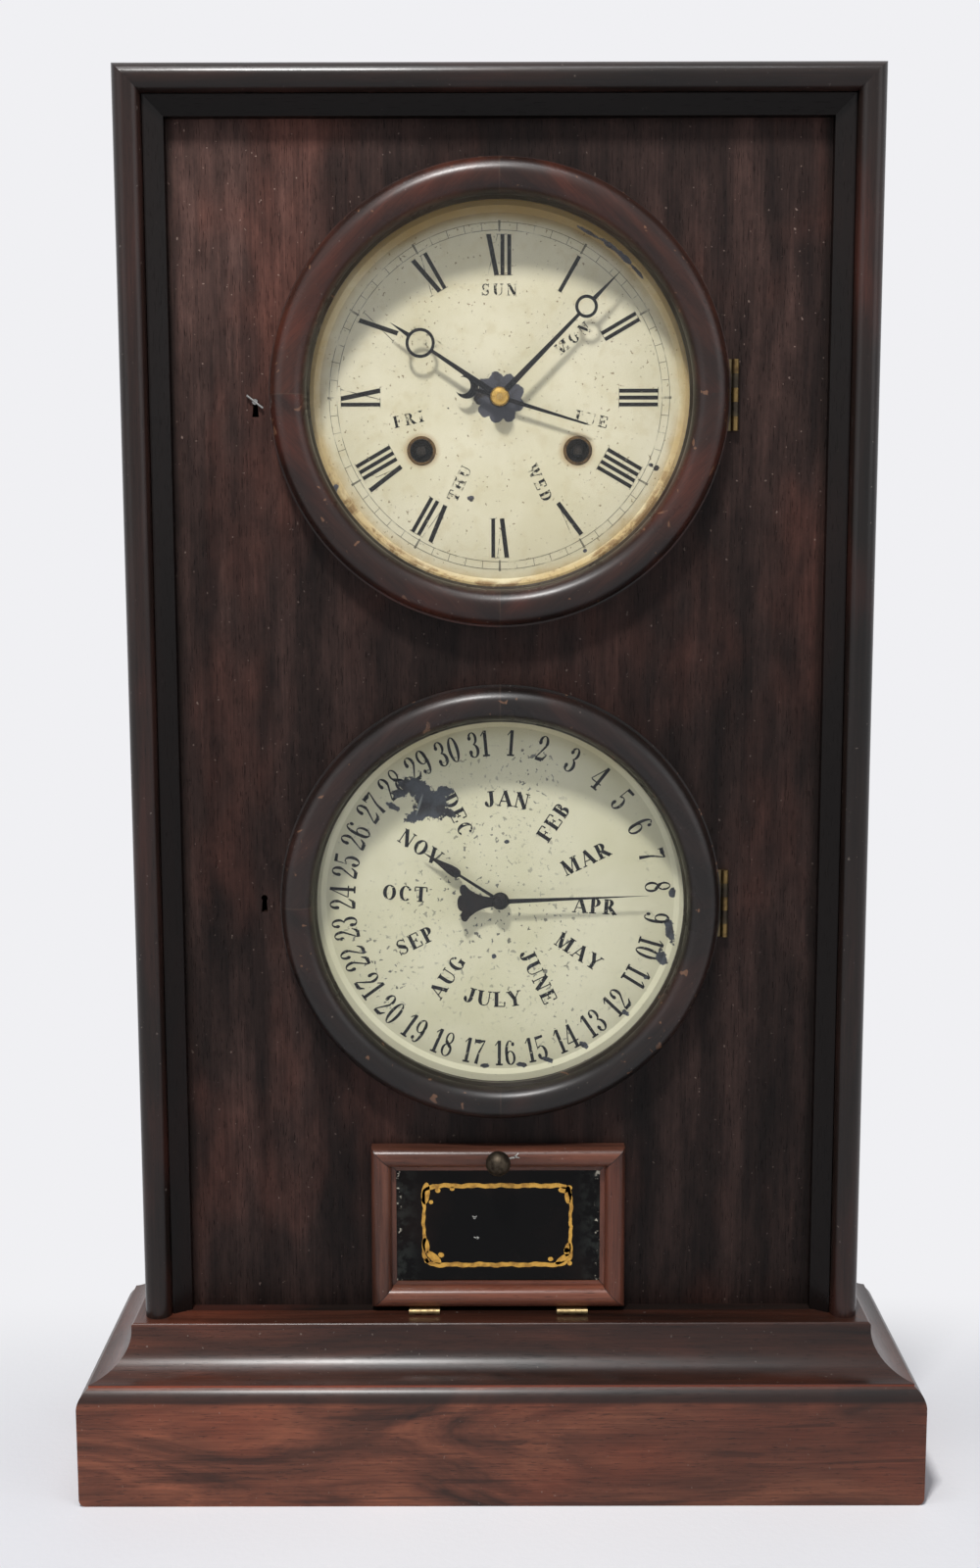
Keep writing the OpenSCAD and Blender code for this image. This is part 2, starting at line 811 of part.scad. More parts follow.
// The pipe and lantern pinion that carry the minute hand
module cannon_pinion() {
    color("#b59a5a") difference() {
        union() {
            spindle([0, upper_z], minute_p - hand_t, plate_at - 0.6, cannon_r);
            lantern([0, upper_z], cannon_p, cannon_p + 5, motion_minute_module, motion_angle);
        }
        spindle([0, upper_z], 0, plate_at, arbor_r + fit_gap);
    }
}

// The wheel and lantern pinion beside the hands that gear them twelve to one
module motion_idler(z) {
    c = [0, z] + spin([motion_reach, 0], motion_angle);
    difference() {
        union() {
            wheel_at(c, cannon_p + 1.7, wheel_t, motion_angle + 180)
                wheel_2d(motion_minute_teeth, motion_minute_module, 0, 0, 0);
            lantern(c, hour_wheel_p - 1.2, cannon_p + 1.7 + 0.4, motion_hour_module, motion_angle + 180);
            spindle(c, hour_wheel_p - 1.2, cannon_p + 4.5, stud_r + 0.8);
        }
        spindle(c, 0, plate_at, stud_r + fit_gap);
    }
}

// The twelve-to-one wheel with its pipe
module motion_wheel(z, p_front) {
    difference() {
        union() {
            wheel_at([0, z], hour_wheel_p, wheel_t, motion_angle)
                wheel_2d(motion_hour_teeth, motion_hour_module, 0, 0, 0);
            spindle([0, z], p_front, hour_wheel_p + wheel_t, hour_pipe_r);
        }
        spindle([0, z], 0, plate_at, cannon_r + 0.1);
    }
}

module minute_wheel() {
    color("#b59a5a") motion_idler(upper_z);
}

module hour_wheel() {
    color("#b59a5a") motion_wheel(upper_z, hour_p - hand_t);
}

// The weekday hand, its pipe and the seven-pointed star behind the dial
module day_hand() {
    star_r = 9.5;
    color("#23262e") difference() {
        union() {
            hand_at(upper_z, day_p, day_at) {
                circle(r = 5.6);
                polygon([[-1.3, 0], [-0.5, day_len - 3], [0, day_len], [0.5, day_len - 3], [1.3, 0]]);
                translate([0, -18.7]) difference() {
                    circle(r = 6.3);
                    translate([0, -2.6]) circle(r = 4.6);
                }
                polygon([[-1.2, 0], [-1, -13.5], [1, -13.5], [1.2, 0]]);
            }
            spindle([0, upper_z], day_p - hand_t, star_p + 1.2, day_pipe_r);
            slab(star_p, star_p + 1.2) translate([0, upper_z]) rotate([0, 0, -day_at]) polygon(
                [for (i = [0:6]) for (q = [[0.55, -25.7], [1, 0]]) spin([star_r * q[0], 0], i * 360 / 7 + q[1])]);
        }
        spindle([0, upper_z], 0, plate_at, hour_pipe_r + 0.1);
    }
}

// The date hand: a long needle, a boss and a flared tail with three scallops
module date_hand() {
    tail = [[2.6, -3.6], [2.9, -6.5], [3.6, -9.8], [5.4, -14], [7.8, -17.3], [10.6, -19.6],
        [10.5, -21.2], [9.2, -22.4], [6.8, -22.7], [4.6, -21.7], [4.2, -23], [2.4, -24]];
    other = [for (i = [len(tail) - 1:-1:0]) [-tail[i][0], tail[i][1]]];
    color("#1d2026") {
        hand_at(lower_z, minute_p, date_at) {
            polygon([[-1.4, 0], [-0.8, 40], [0, date_len], [0.8, 40], [1.4, 0]]);
            polygon(concat([[2.6, 0]], tail, [[0, -24.3]], other, [[-2.6, 0]]));
        }
        turned([0, lower_z]) mirror([0, 1]) polygon([[0, minute_p], [4.4, minute_p],
            [4.4, minute_p - 1.2], [3.7, minute_p - 2.2], [2, minute_p - 2.7], [0, minute_p - 2.8]]);
    }
}

// The month hand with its leaf near the tip
module month_hand() {
    hub = 5;
    root = asin(0.9 / hub);
    color("#1d2026") hand_at(lower_z, hour_p, month_at) difference() {
        polygon(concat(arc([0, 0], hub, 90 + root, 450 - root, 24), [
            [0.7, 27], [2.3, 28.2], [2.8, 30.5], [2.6, 34], [1.5, 40], [0.7, 45], [0, month_len],
            [-0.7, 45], [-1.5, 40], [-2.6, 34], [-2.8, 30.5], [-2.3, 28.2], [-0.7, 27]]));
        circle(r = hour_pipe_r + 0.02);
    }
}

// The date arbor: its pinion drives the months, its ratchet has a tooth a day
module date_wheel() {
    days = 31;
    ratchet_r = 30;
    back = calendar_back_at;
    c = [0, lower_z];
    color("#b59a5a") {
        spindle(c, minute_p, back - run, cannon_r);
        spindle(c, back - 1, back + plate_t - 0.5, arbor_r - fit_gap);
        lantern(c, cannon_p, cannon_p + 5, motion_minute_module, motion_angle);
        wheel_at(c, plate_at + plate_t + 3, wheel_t, 0) difference() {
            polygon([for (i = [0:days - 1]) for (q = [[0.92, 0], [1, 9.5]])
                spin([ratchet_r * q[0], 0], i * 360 / days + q[1])]);
            crossings(ratchet_r - 6, 6, 4);
        }
    }
}

module month_wheel() {
    color("#b59a5a") motion_wheel(lower_z, hour_p - hand_t);
}

module month_idler() {
    color("#b59a5a") motion_idler(lower_z);
}

// The two plates of the calendar work, with posts that stand on the back of the dial
module calendar_frame() {
    half = 46;
    post = 38;
    stud = [0, lower_z] + spin([motion_reach, 0], motion_angle);
    color("#a98f52") {
        difference() {
            union() {
                for (p = [plate_at, calendar_back_at]) slab(p, p + plate_t) translate([0, lower_z])
                    difference() {
                        square(2 * half, center = true);
                        for (a = [45:90:315]) rotate([0, 0, a]) translate([30, 0]) circle(r = 9);
                    }
                spindle(stud, cannon_p, plate_at + plate_t, stud_r + 0.8);
                for (sx = [-1, 1]) for (sz = [-1, 1])
                    spindle([sx * post, lower_z + sz * post], dial_p + dial_t, calendar_back_at + 1, 3);
            }
            spindle([0, lower_z], 0, plate_at + plate_t + 1, cannon_r + fit_gap);
            spindle([0, lower_z], calendar_back_at - 1, calendar_back_at + plate_t + 1, arbor_r);
            spindle(stud, 0, cannon_p + 4.8, 3);
        }
        spindle(stud, hour_wheel_p - 1.6, plate_at + 1, stud_r);
    }
}

// A movement plate: a border, three upright bars and pads round the pivots
module plate_2d() {
    border = 16;
    bar = 24;
    low = plate_low_z;
    difference() {
        translate([-plate_w / 2, low]) square([plate_w, plate_h]);
        translate([-plate_w / 2 + border, low + border])
            square([plate_w - 2 * border, plate_h - 2 * border]);
    }
    for (x = [-wind_x, 0, wind_x]) translate([x - bar / 2, low]) square([bar, plate_h]);
    translate([third_x, third_z]) circle(r = 7);
    translate([-plate_w / 2, upper_z - bar / 2]) square([plate_w, bar]);
}

module pivot_holes(p) {
    for (c = pivots) spindle(c, p - 1, p + plate_t + 1, pivot_r + fit_gap);
}

module plate_front() {
    stud = [0, upper_z] + spin([motion_reach, 0], motion_angle);
    color("#b0924f") {
        difference() {
            slab(plate_at, plate_at + plate_t) plate_2d();
            spindle([0, upper_z], plate_at - 1, plate_at + plate_t + 1, arbor_r + fit_gap);
            for (sx = [-1, 1]) spindle([sx * wind_x, wind_z], plate_at - 1,
                plate_at + plate_t + 1, wind_arbor_r + fit_gap);
            pivot_holes(plate_at);
        }
        spindle(stud, hour_wheel_p - 1.6, plate_at + 1, stud_r);
    }
}

// The back plate with its four riveted pillars
module plate_back() {
    color("#b0924f") {
        difference() {
            slab(plate_back_at, plate_back_at + plate_t) plate_2d();
            for (c = [[0, upper_z], [wind_x, wind_z], [-wind_x, wind_z]])
                spindle(c, plate_back_at - 1, plate_back_at + plate_t + 1, arbor_r + fit_gap);
            pivot_holes(plate_back_at);
        }
        for (sx = [-1, 1]) for (z = [pillar_low_z, plate_low_z + plate_h - 8])
            spindle([sx * pillar_x, z], plate_at + plate_t, plate_back_at + 1, pillar_r);
    }
}

// Two upright rails that carry the movement on the back board
module movement_rails() {
    color("#6b4f38") for (sx = [-1, 1]) block(
        [sx * pillar_x - 7, sx * pillar_x + 7],
        [panel_y + plate_back_at + plate_t, back_y - back_t],
        [plate_low_z - 6, plate_low_z + plate_h + 6]);
}

// A great wheel with its click, running free on a winding arbor
module great_wheel(c, p, teeth, module_mm, turn) {
    color("#b8994f") difference() {
        union() {
            wheel_at(c, p, great_t, turn) wheel_2d(teeth, module_mm, 0, 7, 15);
            slab(p - 2, p) translate(c) polygon([
                [ratchet_tip + run, 0], [ratchet_tip + 5, -3], [ratchet_tip + 6, 8],
                [ratchet_tip + 2.5, 9]]);
        }
        spindle(c, 0, plate_back_at, wind_arbor_r + fit_gap);
    }
}

module time_great_wheel() {
    great_wheel([wind_x, wind_z], great_p, great_teeth, great_module, great_angle);
}

// A winding arbor with its square, ratchet and back pivot
module winding_arbor(x, ratchet_p) {
    c = [x, wind_z];
    clicks = 16;
    color("#9a9a96") {
        spindle(c, time_dial_p + 4, plate_back_at - run, wind_arbor_r);
        spindle(c, plate_back_at - 1, plate_back_at + plate_t - 0.4, arbor_r);
        slab(time_dial_p - 0.8, time_dial_p + 5) translate(c) square(square_w, center = true);
        slab(ratchet_p, ratchet_p + 1.5) translate(c) polygon(
            [for (i = [0:clicks - 1]) for (q = [[0.84, 0], [1, 19]])
                spin([ratchet_tip * q[0], 0], i * 360 / clicks + q[1])]);
    }
}

module time_arbor() {
    winding_arbor(wind_x, great_p - 1.8);
}

module strike_arbor() {
    winding_arbor(-wind_x, strike_p - 1.8);
}

// The great wheel of the striking side, with its click
module strike_great_wheel() {
    great_wheel([-wind_x, wind_z], strike_p, strike_teeth, strike_module, strike_angle);
}

// The pin wheel: its pinion, its teeth for the next arbor, and the pins that lift the hammer
module pin_wheel() {
    c = pin_wheel_c;
    color("#b8994f") {
        pivoted(c, 1.1);
        lantern(c, strike_p - 1.5, strike_p + great_t + 1.5, strike_module, strike_angle + 180);
        wheel_at(c, pin_wheel_p, wheel_t, 0)
            wheel_2d(pin_teeth, pin_module, 0, pin_teeth * pin_module / 2 - pin_circle_r + 2, 6);
        for (i = [0:pin_count - 1]) spindle(c + spin([pin_circle_r, 0], pin_turn + i * 360 / pin_count),
            pin_wheel_p, pin_wheel_p + 4.6, hammer_pin_r);
    }
}

// The hammer: an arbor, a tail beside the pins, and a rod down to its head at the gong
module hammer() {
    c = hammer_c;
    aim = pin_wheel_c - c;
    along = aim / norm(aim);
    tail = norm(aim) - pin_circle_r - hammer_pin_r - 2 * run;
    head = [gong_x + gong_side_r + gong_wire + 0.6 + head_r, gong_z];
    rod_p = gong_p - gong_wire - 0.6 - 1.2;
    color("#8a8d92") {
        pivoted(c, 1.1);
        spindle(c, plate_back_at, rod_p + 2, pivot_r);
        spindle(c, rod_p - 1, rod_p + 2, 2.4);
        slab(pin_wheel_p + wheel_t + 0.6, pin_wheel_p + wheel_t + 2.2) {
            strip([c, c + tail * along], 2);
            translate(c) circle(r = 2.4);
        }
        slab(rod_p, rod_p + 1.2) strip([c, head], 2);
        spindle(head, rod_p, gong_p + gong_wire + 0.5, head_r);
    }
}

// Open mainsprings: flat strips wound from the arbors out to the lower pillars
function side_point(path, i, w) =
    let (a = path[max(i - 1, 0)], b = path[min(i + 1, len(path) - 1)], d = (b - a) / norm(b - a))
    path[i] + w * [-d[1], d[0]];
module strip(path, w) {
    last = len(path) - 1;
    polygon(concat([for (i = [0:last]) side_point(path, i, w / 2)],
        [for (i = [last:-1:0]) side_point(path, i, -w / 2)]));
}

module mainsprings() {
    turns = 8;
    strip_t = 0.5;
    to_pillar = [pillar_x - wind_x, pillar_low_z - wind_z];
    aim = atan2(to_pillar[1], to_pillar[0]);
    last = aim - acos(spring_r / norm(to_pillar)) + 360;
    first = last - 360 * turns;
    low_r = wind_arbor_r + run + strip_t;
    coil = [for (a = [first:15:last]) let (r = low_r + (spring_r - low_r) * (a - first) / (360 * turns))
        spin([r, 0], a)];
    away = to_pillar - spin([spring_r, 0], last);
    stop = to_pillar - away / norm(away) * (pillar_r + run);
    color("#5d6470") for (sx = [0, 1]) mirror([sx, 0, 0])
        slab(spring_p, spring_p + spring_w) translate([wind_x, wind_z]) strip(concat(coil, [stop]), strip_t);
}

// The centre arbor with its lantern pinion and wheel
module centre_wheel() {
    c = [0, upper_z];
    color("#b8994f") {
        spindle(c, minute_p - hand_t - 2, plate_back_at + plate_t - 0.4, arbor_r);
        slab(minute_p - hand_t - 3.1, minute_p - hand_t - 1.9) translate(c) square(2.6, center = true);
        lantern(c, great_p - 1.8, great_p + great_t + 1.8, great_module, great_angle + 180);
        wheel_at(c, centre_p, wheel_t, 90 - third_lean)
            wheel_2d(centre_teeth, centre_module, 0, 5, 5);
    }
}

module pivoted(c, r) {
    spindle(c, plate_at + plate_t + run, plate_back_at - run, r);
    spindle(c, plate_at + 0.4, plate_back_at + plate_t - 0.4, pivot_r);
}

module third_wheel() {
    c = [third_x, third_z];
    color("#b8994f") {
        pivoted(c, 1.1);
        lantern(c, centre_p - 1.8, centre_p + wheel_t + 1.8, centre_module, 270 - third_lean);
        wheel_at(c, third_p, wheel_t, atan2(escape_z - third_z, -third_x))
            wheel_2d(third_teeth, third_module, 0, 4, 5);
    }
}

module escape_wheel() {
    c = [0, escape_z];
    color("#c0a25a") {
        pivoted(c, 1);
        lantern(c, third_p - 1.6, third_p + wheel_t + 1.6, third_module, atan2(third_z - escape_z, third_x));
        wheel_at(c, escape_p, 1, 0) difference() {
            polygon([for (i = [0:escape_teeth - 1]) for (q = [[0.86, 0], [1, 7.5], [0.86, 9.5]])
                spin([escape_r * q[0], 0], i * 360 / escape_teeth + q[1])]);
            crossings(escape_r * 0.86 - 2.5, 4, 3);
        }
    }
}

// The verge: two pallets over the escape wheel and the crutch behind the back plate
module verge() {
    lift = escape_r + verge_clear;
    color("#8a8d92") {
        pivoted([0, verge_z], 1);
        spindle([0, verge_z], plate_back_at, crutch_p + 1.6, pivot_r);
        slab(escape_p - 0.5, escape_p + 1.5) translate([0, escape_z]) {
            intersection() {
                difference() {
                    circle(r = lift + 3);
                    circle(r = lift + 1.2);
                }
                polygon([[0, 0], [-40, 44], [40, 44]]);
            }
            for (sx = [-1, 1]) polygon([[sx * lift * sin(45), lift * cos(45)],
                [sx * (lift + 3) * sin(45), (lift + 3) * cos(45)],
                [sx * (lift + 3) * sin(40), (lift + 3) * cos(40)]]);
            translate([-2, lift + 2]) square([4, verge_rise - lift]);
        }
        slab(crutch_p, crutch_p + 1.2) translate([-1.5, verge_z - crutch_len]) square([3, crutch_len + 2]);
        slab(crutch_p, pendulum_p + rod_r + 2.5) for (sx = [-1, 1])
            translate([sx * (rod_r + run + 0.6) - 0.6, verge_z - crutch_len - 2]) square([1.2, 4]);
        slab(crutch_p, crutch_p + 1.2) translate([-rod_r - run - 1.2, verge_z - crutch_len - 2])
            square([2 * (rod_r + run + 1.2), 4]);
    }
}

// The cock on the back plate, and the spring strip from which the pendulum hangs
module suspension_cock() {
    back = plate_back_at + plate_t;
    color("#8f7a48") {
        block([-8, 8], [panel_y + back, panel_y + pendulum_p + 4], [verge_z + 5, verge_z + 12]);
        block([-2, 2], [panel_y + pendulum_p - 0.15, panel_y + pendulum_p + 0.15],
            [verge_z + 0.5, verge_z + 5.5]);
    }
}

module pendulum_rod() {
    bob_z = verge_z - pendulum_len;
    color("#8d8d88") translate([0, panel_y + pendulum_p, 0]) {
        translate([0, 0, bob_z - bob_r - 16])
            cylinder(h = pendulum_len + bob_r + 16, r = rod_r);
        translate([0, 0, bob_z - bob_r - 6]) cylinder(h = 4, r = 6);
    }
}

module pendulum_bob() {
    bob_z = verge_z - pendulum_len;
    lens = (bob_r * bob_r + bob_t * bob_t / 4) / bob_t;
    color("#b49350") translate([0, panel_y + pendulum_p, bob_z]) difference() {
        rotate([90, 0, 0]) rotate_extrude($fn = 96) intersection() {
            translate([0, lens - bob_t / 2]) circle(r = lens, $fn = 180);
            translate([0, bob_t / 2 - lens]) circle(r = lens, $fn = 180);
            translate([0, -bob_t]) square([bob_r + 1, 2 * bob_t]);
        }
        translate([0, 0, -bob_r - 1]) cylinder(h = 2 * bob_r + 2, r = rod_r + fit_gap);
    }
}

// A coiled gong on the back board
module gong() {
    grow = (gong_r - gong_first_r) / (gong_turns * 24);
    path = [for (i = [0:gong_turns * 24]) spin([gong_first_r + grow * i, 0], i * 15)];
    color("#4c5058") slab(gong_p - gong_wire, gong_p + gong_wire)
        translate([gong_x, gong_z]) strip(path, 2 * gong_wire);
}

module gong_block() {
    color("#3b3c3e") spindle([gong_x, gong_z], gong_p - 3, case_depth - back_t, 4.2);
}

base_front();
base_left();
base_right();
base_board();
side_left();
side_right();
top_board();
back_board();
front_panel();
frame_left();
frame_right();
frame_top();
dial_time();
dial_calendar();
dial_grommets();
bezel_upper();
glass_upper();
leaf_upper();
bezel_lower();
glass_lower();
leaf_lower();
bezel_hinge_leaves();
door_hinge_leaves();
door_frame();
door_glass();
door_knob();
door_leaves();
latch_hook();
minute_hand();
hand_nut();
cannon_pinion();
hour_hand();
hour_wheel();
day_hand();
minute_wheel();
date_hand();
date_wheel();
month_hand();
month_wheel();
month_idler();
calendar_frame();
plate_front();
plate_back();
movement_rails();
time_great_wheel();
time_arbor();
mainsprings();
strike_great_wheel();
strike_arbor();
pin_wheel();
hammer();
centre_wheel();
third_wheel();
escape_wheel();
verge();
suspension_cock();
pendulum_rod();
pendulum_bob();
gong();
gong_block();
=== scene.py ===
import math
import random

import bpy
from mathutils import Matrix, Vector

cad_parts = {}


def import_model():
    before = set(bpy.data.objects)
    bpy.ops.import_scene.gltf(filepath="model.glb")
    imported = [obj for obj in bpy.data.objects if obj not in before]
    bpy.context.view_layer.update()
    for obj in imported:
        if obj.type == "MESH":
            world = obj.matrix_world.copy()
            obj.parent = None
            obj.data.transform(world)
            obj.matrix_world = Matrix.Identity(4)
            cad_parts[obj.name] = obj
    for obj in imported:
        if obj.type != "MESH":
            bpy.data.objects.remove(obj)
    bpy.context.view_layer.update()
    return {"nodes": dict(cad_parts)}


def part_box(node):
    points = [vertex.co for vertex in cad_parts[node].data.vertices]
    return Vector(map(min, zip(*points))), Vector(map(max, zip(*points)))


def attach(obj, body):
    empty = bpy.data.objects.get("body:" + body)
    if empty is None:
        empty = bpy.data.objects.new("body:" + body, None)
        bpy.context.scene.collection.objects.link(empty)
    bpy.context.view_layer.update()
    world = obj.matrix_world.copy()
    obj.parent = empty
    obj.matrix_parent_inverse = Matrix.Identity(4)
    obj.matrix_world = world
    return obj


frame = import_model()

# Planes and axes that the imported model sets, in metres
PANEL_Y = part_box("front_panel")[0][1]
UPPER_Z = 0.611
LOWER_Z = 0.3315
UPPER_SINK, LOWER_SINK = 0.012, 0.0094
UPPER_FACE = PANEL_Y + UPPER_SINK
LOWER_FACE = PANEL_Y + LOWER_SINK
PRINT_GAP = 0.00008
SIGHT_R = 0.1026
WIND_X, WIND_DROP = 0.043, 0.0285
RAIL_W = 0.0142
GLUE_Z = 0.0676
DOOR_LOW, DOOR_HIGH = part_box("door_frame")
DOOR_X = (DOOR_LOW[0] + DOOR_HIGH[0]) / 2
DOOR_Z = (DOOR_LOW[2] + DOOR_HIGH[2]) / 2


def srgb(red, green, blue):
    """A colour given by its 0 to 255 values, as linear light with alpha."""
    parts = [value / 255 for value in (red, green, blue)]
    return tuple(p / 12.92 if p <= 0.04045 else ((p + 0.055) / 1.055) ** 2.4 for p in parts) + (1.0,)


class Tree:
    """A material's node tree, written as plain calls."""

    def __init__(self, name):
        self.mat = bpy.data.materials.new(name)
        self.mat.use_nodes = True
        self.tree = self.mat.node_tree
        self.tree.nodes.clear()
        self.at = self.add("ShaderNodeTexCoord").outputs["Object"]

    def add(self, kind, **props):
        node = self.tree.nodes.new(kind)
        for key, value in props.items():
            setattr(node, key, value)
        return node

    def plug(self, socket, value):
        if isinstance(value, bpy.types.NodeSocket):
            self.tree.links.new(value, socket)
        else:
            socket.default_value = value

    def math(self, op, a, b=0.0, clamp=False):
        node = self.add("ShaderNodeMath", operation=op, use_clamp=clamp)
        self.plug(node.inputs[0], a)
        self.plug(node.inputs[1], b)
        return node.outputs[0]

    def mix(self, fac, a, b, blend="MIX"):
        node = self.add("ShaderNodeMix", data_type="RGBA", blend_type=blend)
        self.plug(node.inputs["Factor"], fac)
        self.plug(node.inputs[6], a)
        self.plug(node.inputs[7], b)
        return node.outputs[2]

    def place(self, scale=(1, 1, 1), shift=(0, 0, 0), turn=(0, 0, 0), at=None, kind="POINT"):
        node = self.add("ShaderNodeMapping", vector_type=kind)
        self.plug(node.inputs["Vector"], at or self.at)
        node.inputs["Scale"].default_value = scale
        node.inputs["Location"].default_value = shift
        node.inputs["Rotation"].default_value = turn
        return node.outputs[0]

    def noise(self, scale, detail=3.0, rough=0.55, distort=0.0, at=None):
        node = self.add("ShaderNodeTexNoise")
        self.plug(node.inputs["Vector"], at or self.at)
        node.inputs["Scale"].default_value = scale
        node.inputs["Detail"].default_value = detail
        node.inputs["Roughness"].default_value = rough
        node.inputs["Distortion"].default_value = distort
        return node.outputs["Fac"]

    def step(self, value, low, high, out=(0.0, 1.0)):
        """0 at low, 1 at high, smooth between them."""
        node = self.add("ShaderNodeMapRange", interpolation_type="SMOOTHSTEP", clamp=True)
        self.plug(node.inputs["Value"], value)
        if low < high:
            node.inputs["From Min"].default_value = low
            node.inputs["From Max"].default_value = high
            node.inputs["To Min"].default_value, node.inputs["To Max"].default_value = out
        else:
            node.inputs["From Min"].default_value = high
            node.inputs["From Max"].default_value = low
            node.inputs["To Min"].default_value, node.inputs["To Max"].default_value = out[1], out[0]
        return node.outputs["Result"]

    def ramp(self, fac, *stops):
        node = self.add("ShaderNodeValToRGB")
        self.plug(node.inputs[0], fac)
        ramp = node.color_ramp
        while len(ramp.elements) < len(stops):
            ramp.elements.new(0.5)
        for element, (place, colour) in zip(ramp.elements, stops):
            element.position = place
            element.color = colour
        return node.outputs[0]

    def split(self, at=None):
        node = self.add("ShaderNodeSeparateXYZ")
        self.plug(node.inputs[0], at or self.at)
        return node.outputs

    def join(self, x, y, z):
        node = self.add("ShaderNodeCombineXYZ")
        for socket, value in zip(node.inputs, (x, y, z)):
            self.plug(socket, value)
        return node.outputs[0]

    def bump(self, height, depth, strength=1.0):
        node = self.add("ShaderNodeBump")
        node.inputs["Strength"].default_value = strength
        node.inputs["Distance"].default_value = depth
        self.plug(node.inputs["Height"], height)
        return node.outputs[0]

    def surface(self, colour, rough, normal=None, **sockets):
        shader = self.add("ShaderNodeBsdfPrincipled")
        self.plug(shader.inputs["Base Color"], colour)
        self.plug(shader.inputs["Roughness"], rough)
        if normal is not None:
            self.plug(shader.inputs["Normal"], normal)
        for key, value in sockets.items():
            self.plug(shader.inputs[key.replace("_", " ")], value)
        out = self.add("ShaderNodeOutputMaterial")
        self.tree.links.new(shader.outputs[0], out.inputs["Surface"])
        return self.mat


# Wood

ACROSS = {"X": (0, 1, 1), "Y": (1, 0, 1), "Z": (1, 1, 0)}


def stretched(t, grain, along, across, at=None):
    """Coordinates scaled along and across the grain."""
    scale = tuple(across if side else along for side in ACROSS[grain])
    return t.place(scale=scale, at=at)


def rosewood(t, grain, tones, at=None, streak=0.5, rough=0.42, figure=1.0, broad=0.45):
    """Dark figured veneer: bands, fibres, pores, worn sheen. tones run dark, middle, light, red."""
    dark, middle, light, red = tones
    wander = t.noise(5.0, 2.0, at=stretched(t, grain, 0.5, 1.6, at))
    warped = t.add("ShaderNodeVectorMath", operation="ADD")
    t.plug(warped.inputs[0], stretched(t, grain, 1.0, 1.0, at))
    t.plug(warped.inputs[1], t.join(t.math("MULTIPLY", wander, 0.06 * figure),
                                    t.math("MULTIPLY", wander, 0.05 * figure),
                                    t.math("MULTIPLY", wander, 0.06 * figure)))
    flow = warped.outputs[0]
    bands = t.noise(1.0, 5.0, 0.6, at=stretched(t, grain, 5.0, 55.0, flow))
    wide = t.noise(1.0, 3.0, 0.5, at=stretched(t, grain, 2.5, 12.0, flow))
    fibre = t.noise(1.0, 3.0, 0.6, at=stretched(t, grain, 22.0, 900.0, at))
    pores = t.noise(1.0, 2.0, 0.5, at=stretched(t, grain, 130.0, 2400.0, at))
    mixed = t.math("ADD", t.math("MULTIPLY", bands, 1.0 - broad), t.math("MULTIPLY", wide, broad))
    colour = t.ramp(mixed, (0.36, dark), (0.5, middle), (0.66, light))
    patch = t.noise(9.0, 3.0, 0.6, at=stretched(t, grain, 0.6, 1.5, at))
    colour = t.mix(t.math("MULTIPLY", t.step(patch, 0.5, 0.68), streak), colour, red)
    shade = t.ramp(fibre, (0.3, (0.72, 0.72, 0.72, 1)), (0.7, (1.22, 1.2, 1.18, 1)))
    colour = t.mix(1.0, colour, shade, "MULTIPLY")
    pore = t.step(pores, 0.36, 0.28)
    colour = t.mix(t.math("MULTIPLY", pore, 0.7), colour, (dark[0] * 0.35, dark[1] * 0.35, dark[2] * 0.35, 1))
    haze = t.noise(26.0, 4.0, 0.65)
    dust = t.step(t.noise(420.0, 1.0), 0.74, 0.8)
    colour = t.mix(t.math("MULTIPLY", dust, 0.35), colour, srgb(140, 128, 120))
    rough_map = t.math("ADD", rough, t.math("MULTIPLY", t.math("SUBTRACT", haze, 0.5), 0.26))
    height = t.math("SUBTRACT", t.math("MULTIPLY", fibre, 0.35), t.math("MULTIPLY", pore, 0.8))
    return colour, rough_map, height


PANEL = (srgb(22, 17, 16), srgb(36, 28, 26), srgb(54, 42, 39), srgb(72, 48, 42))
FRAME = (srgb(16, 12, 10), srgb(30, 21, 18), srgb(54, 33, 28), srgb(80, 42, 34))
RING = (srgb(18, 11, 9), srgb(40, 23, 18), srgb(66, 36, 27), srgb(88, 42, 30))
DARK_RING = (srgb(12, 9, 8), srgb(24, 18, 16), srgb(42, 30, 27), srgb(60, 36, 30))
PLINTH = (srgb(50, 29, 21), srgb(96, 55, 40), srgb(132, 79, 57), srgb(128, 64, 43))
COVE = (srgb(28, 17, 13), srgb(62, 35, 26), srgb(94, 54, 40), srgb(102, 50, 35))
DOOR = (srgb(36, 22, 18), srgb(88, 54, 42), srgb(132, 84, 66), srgb(130, 70, 52))


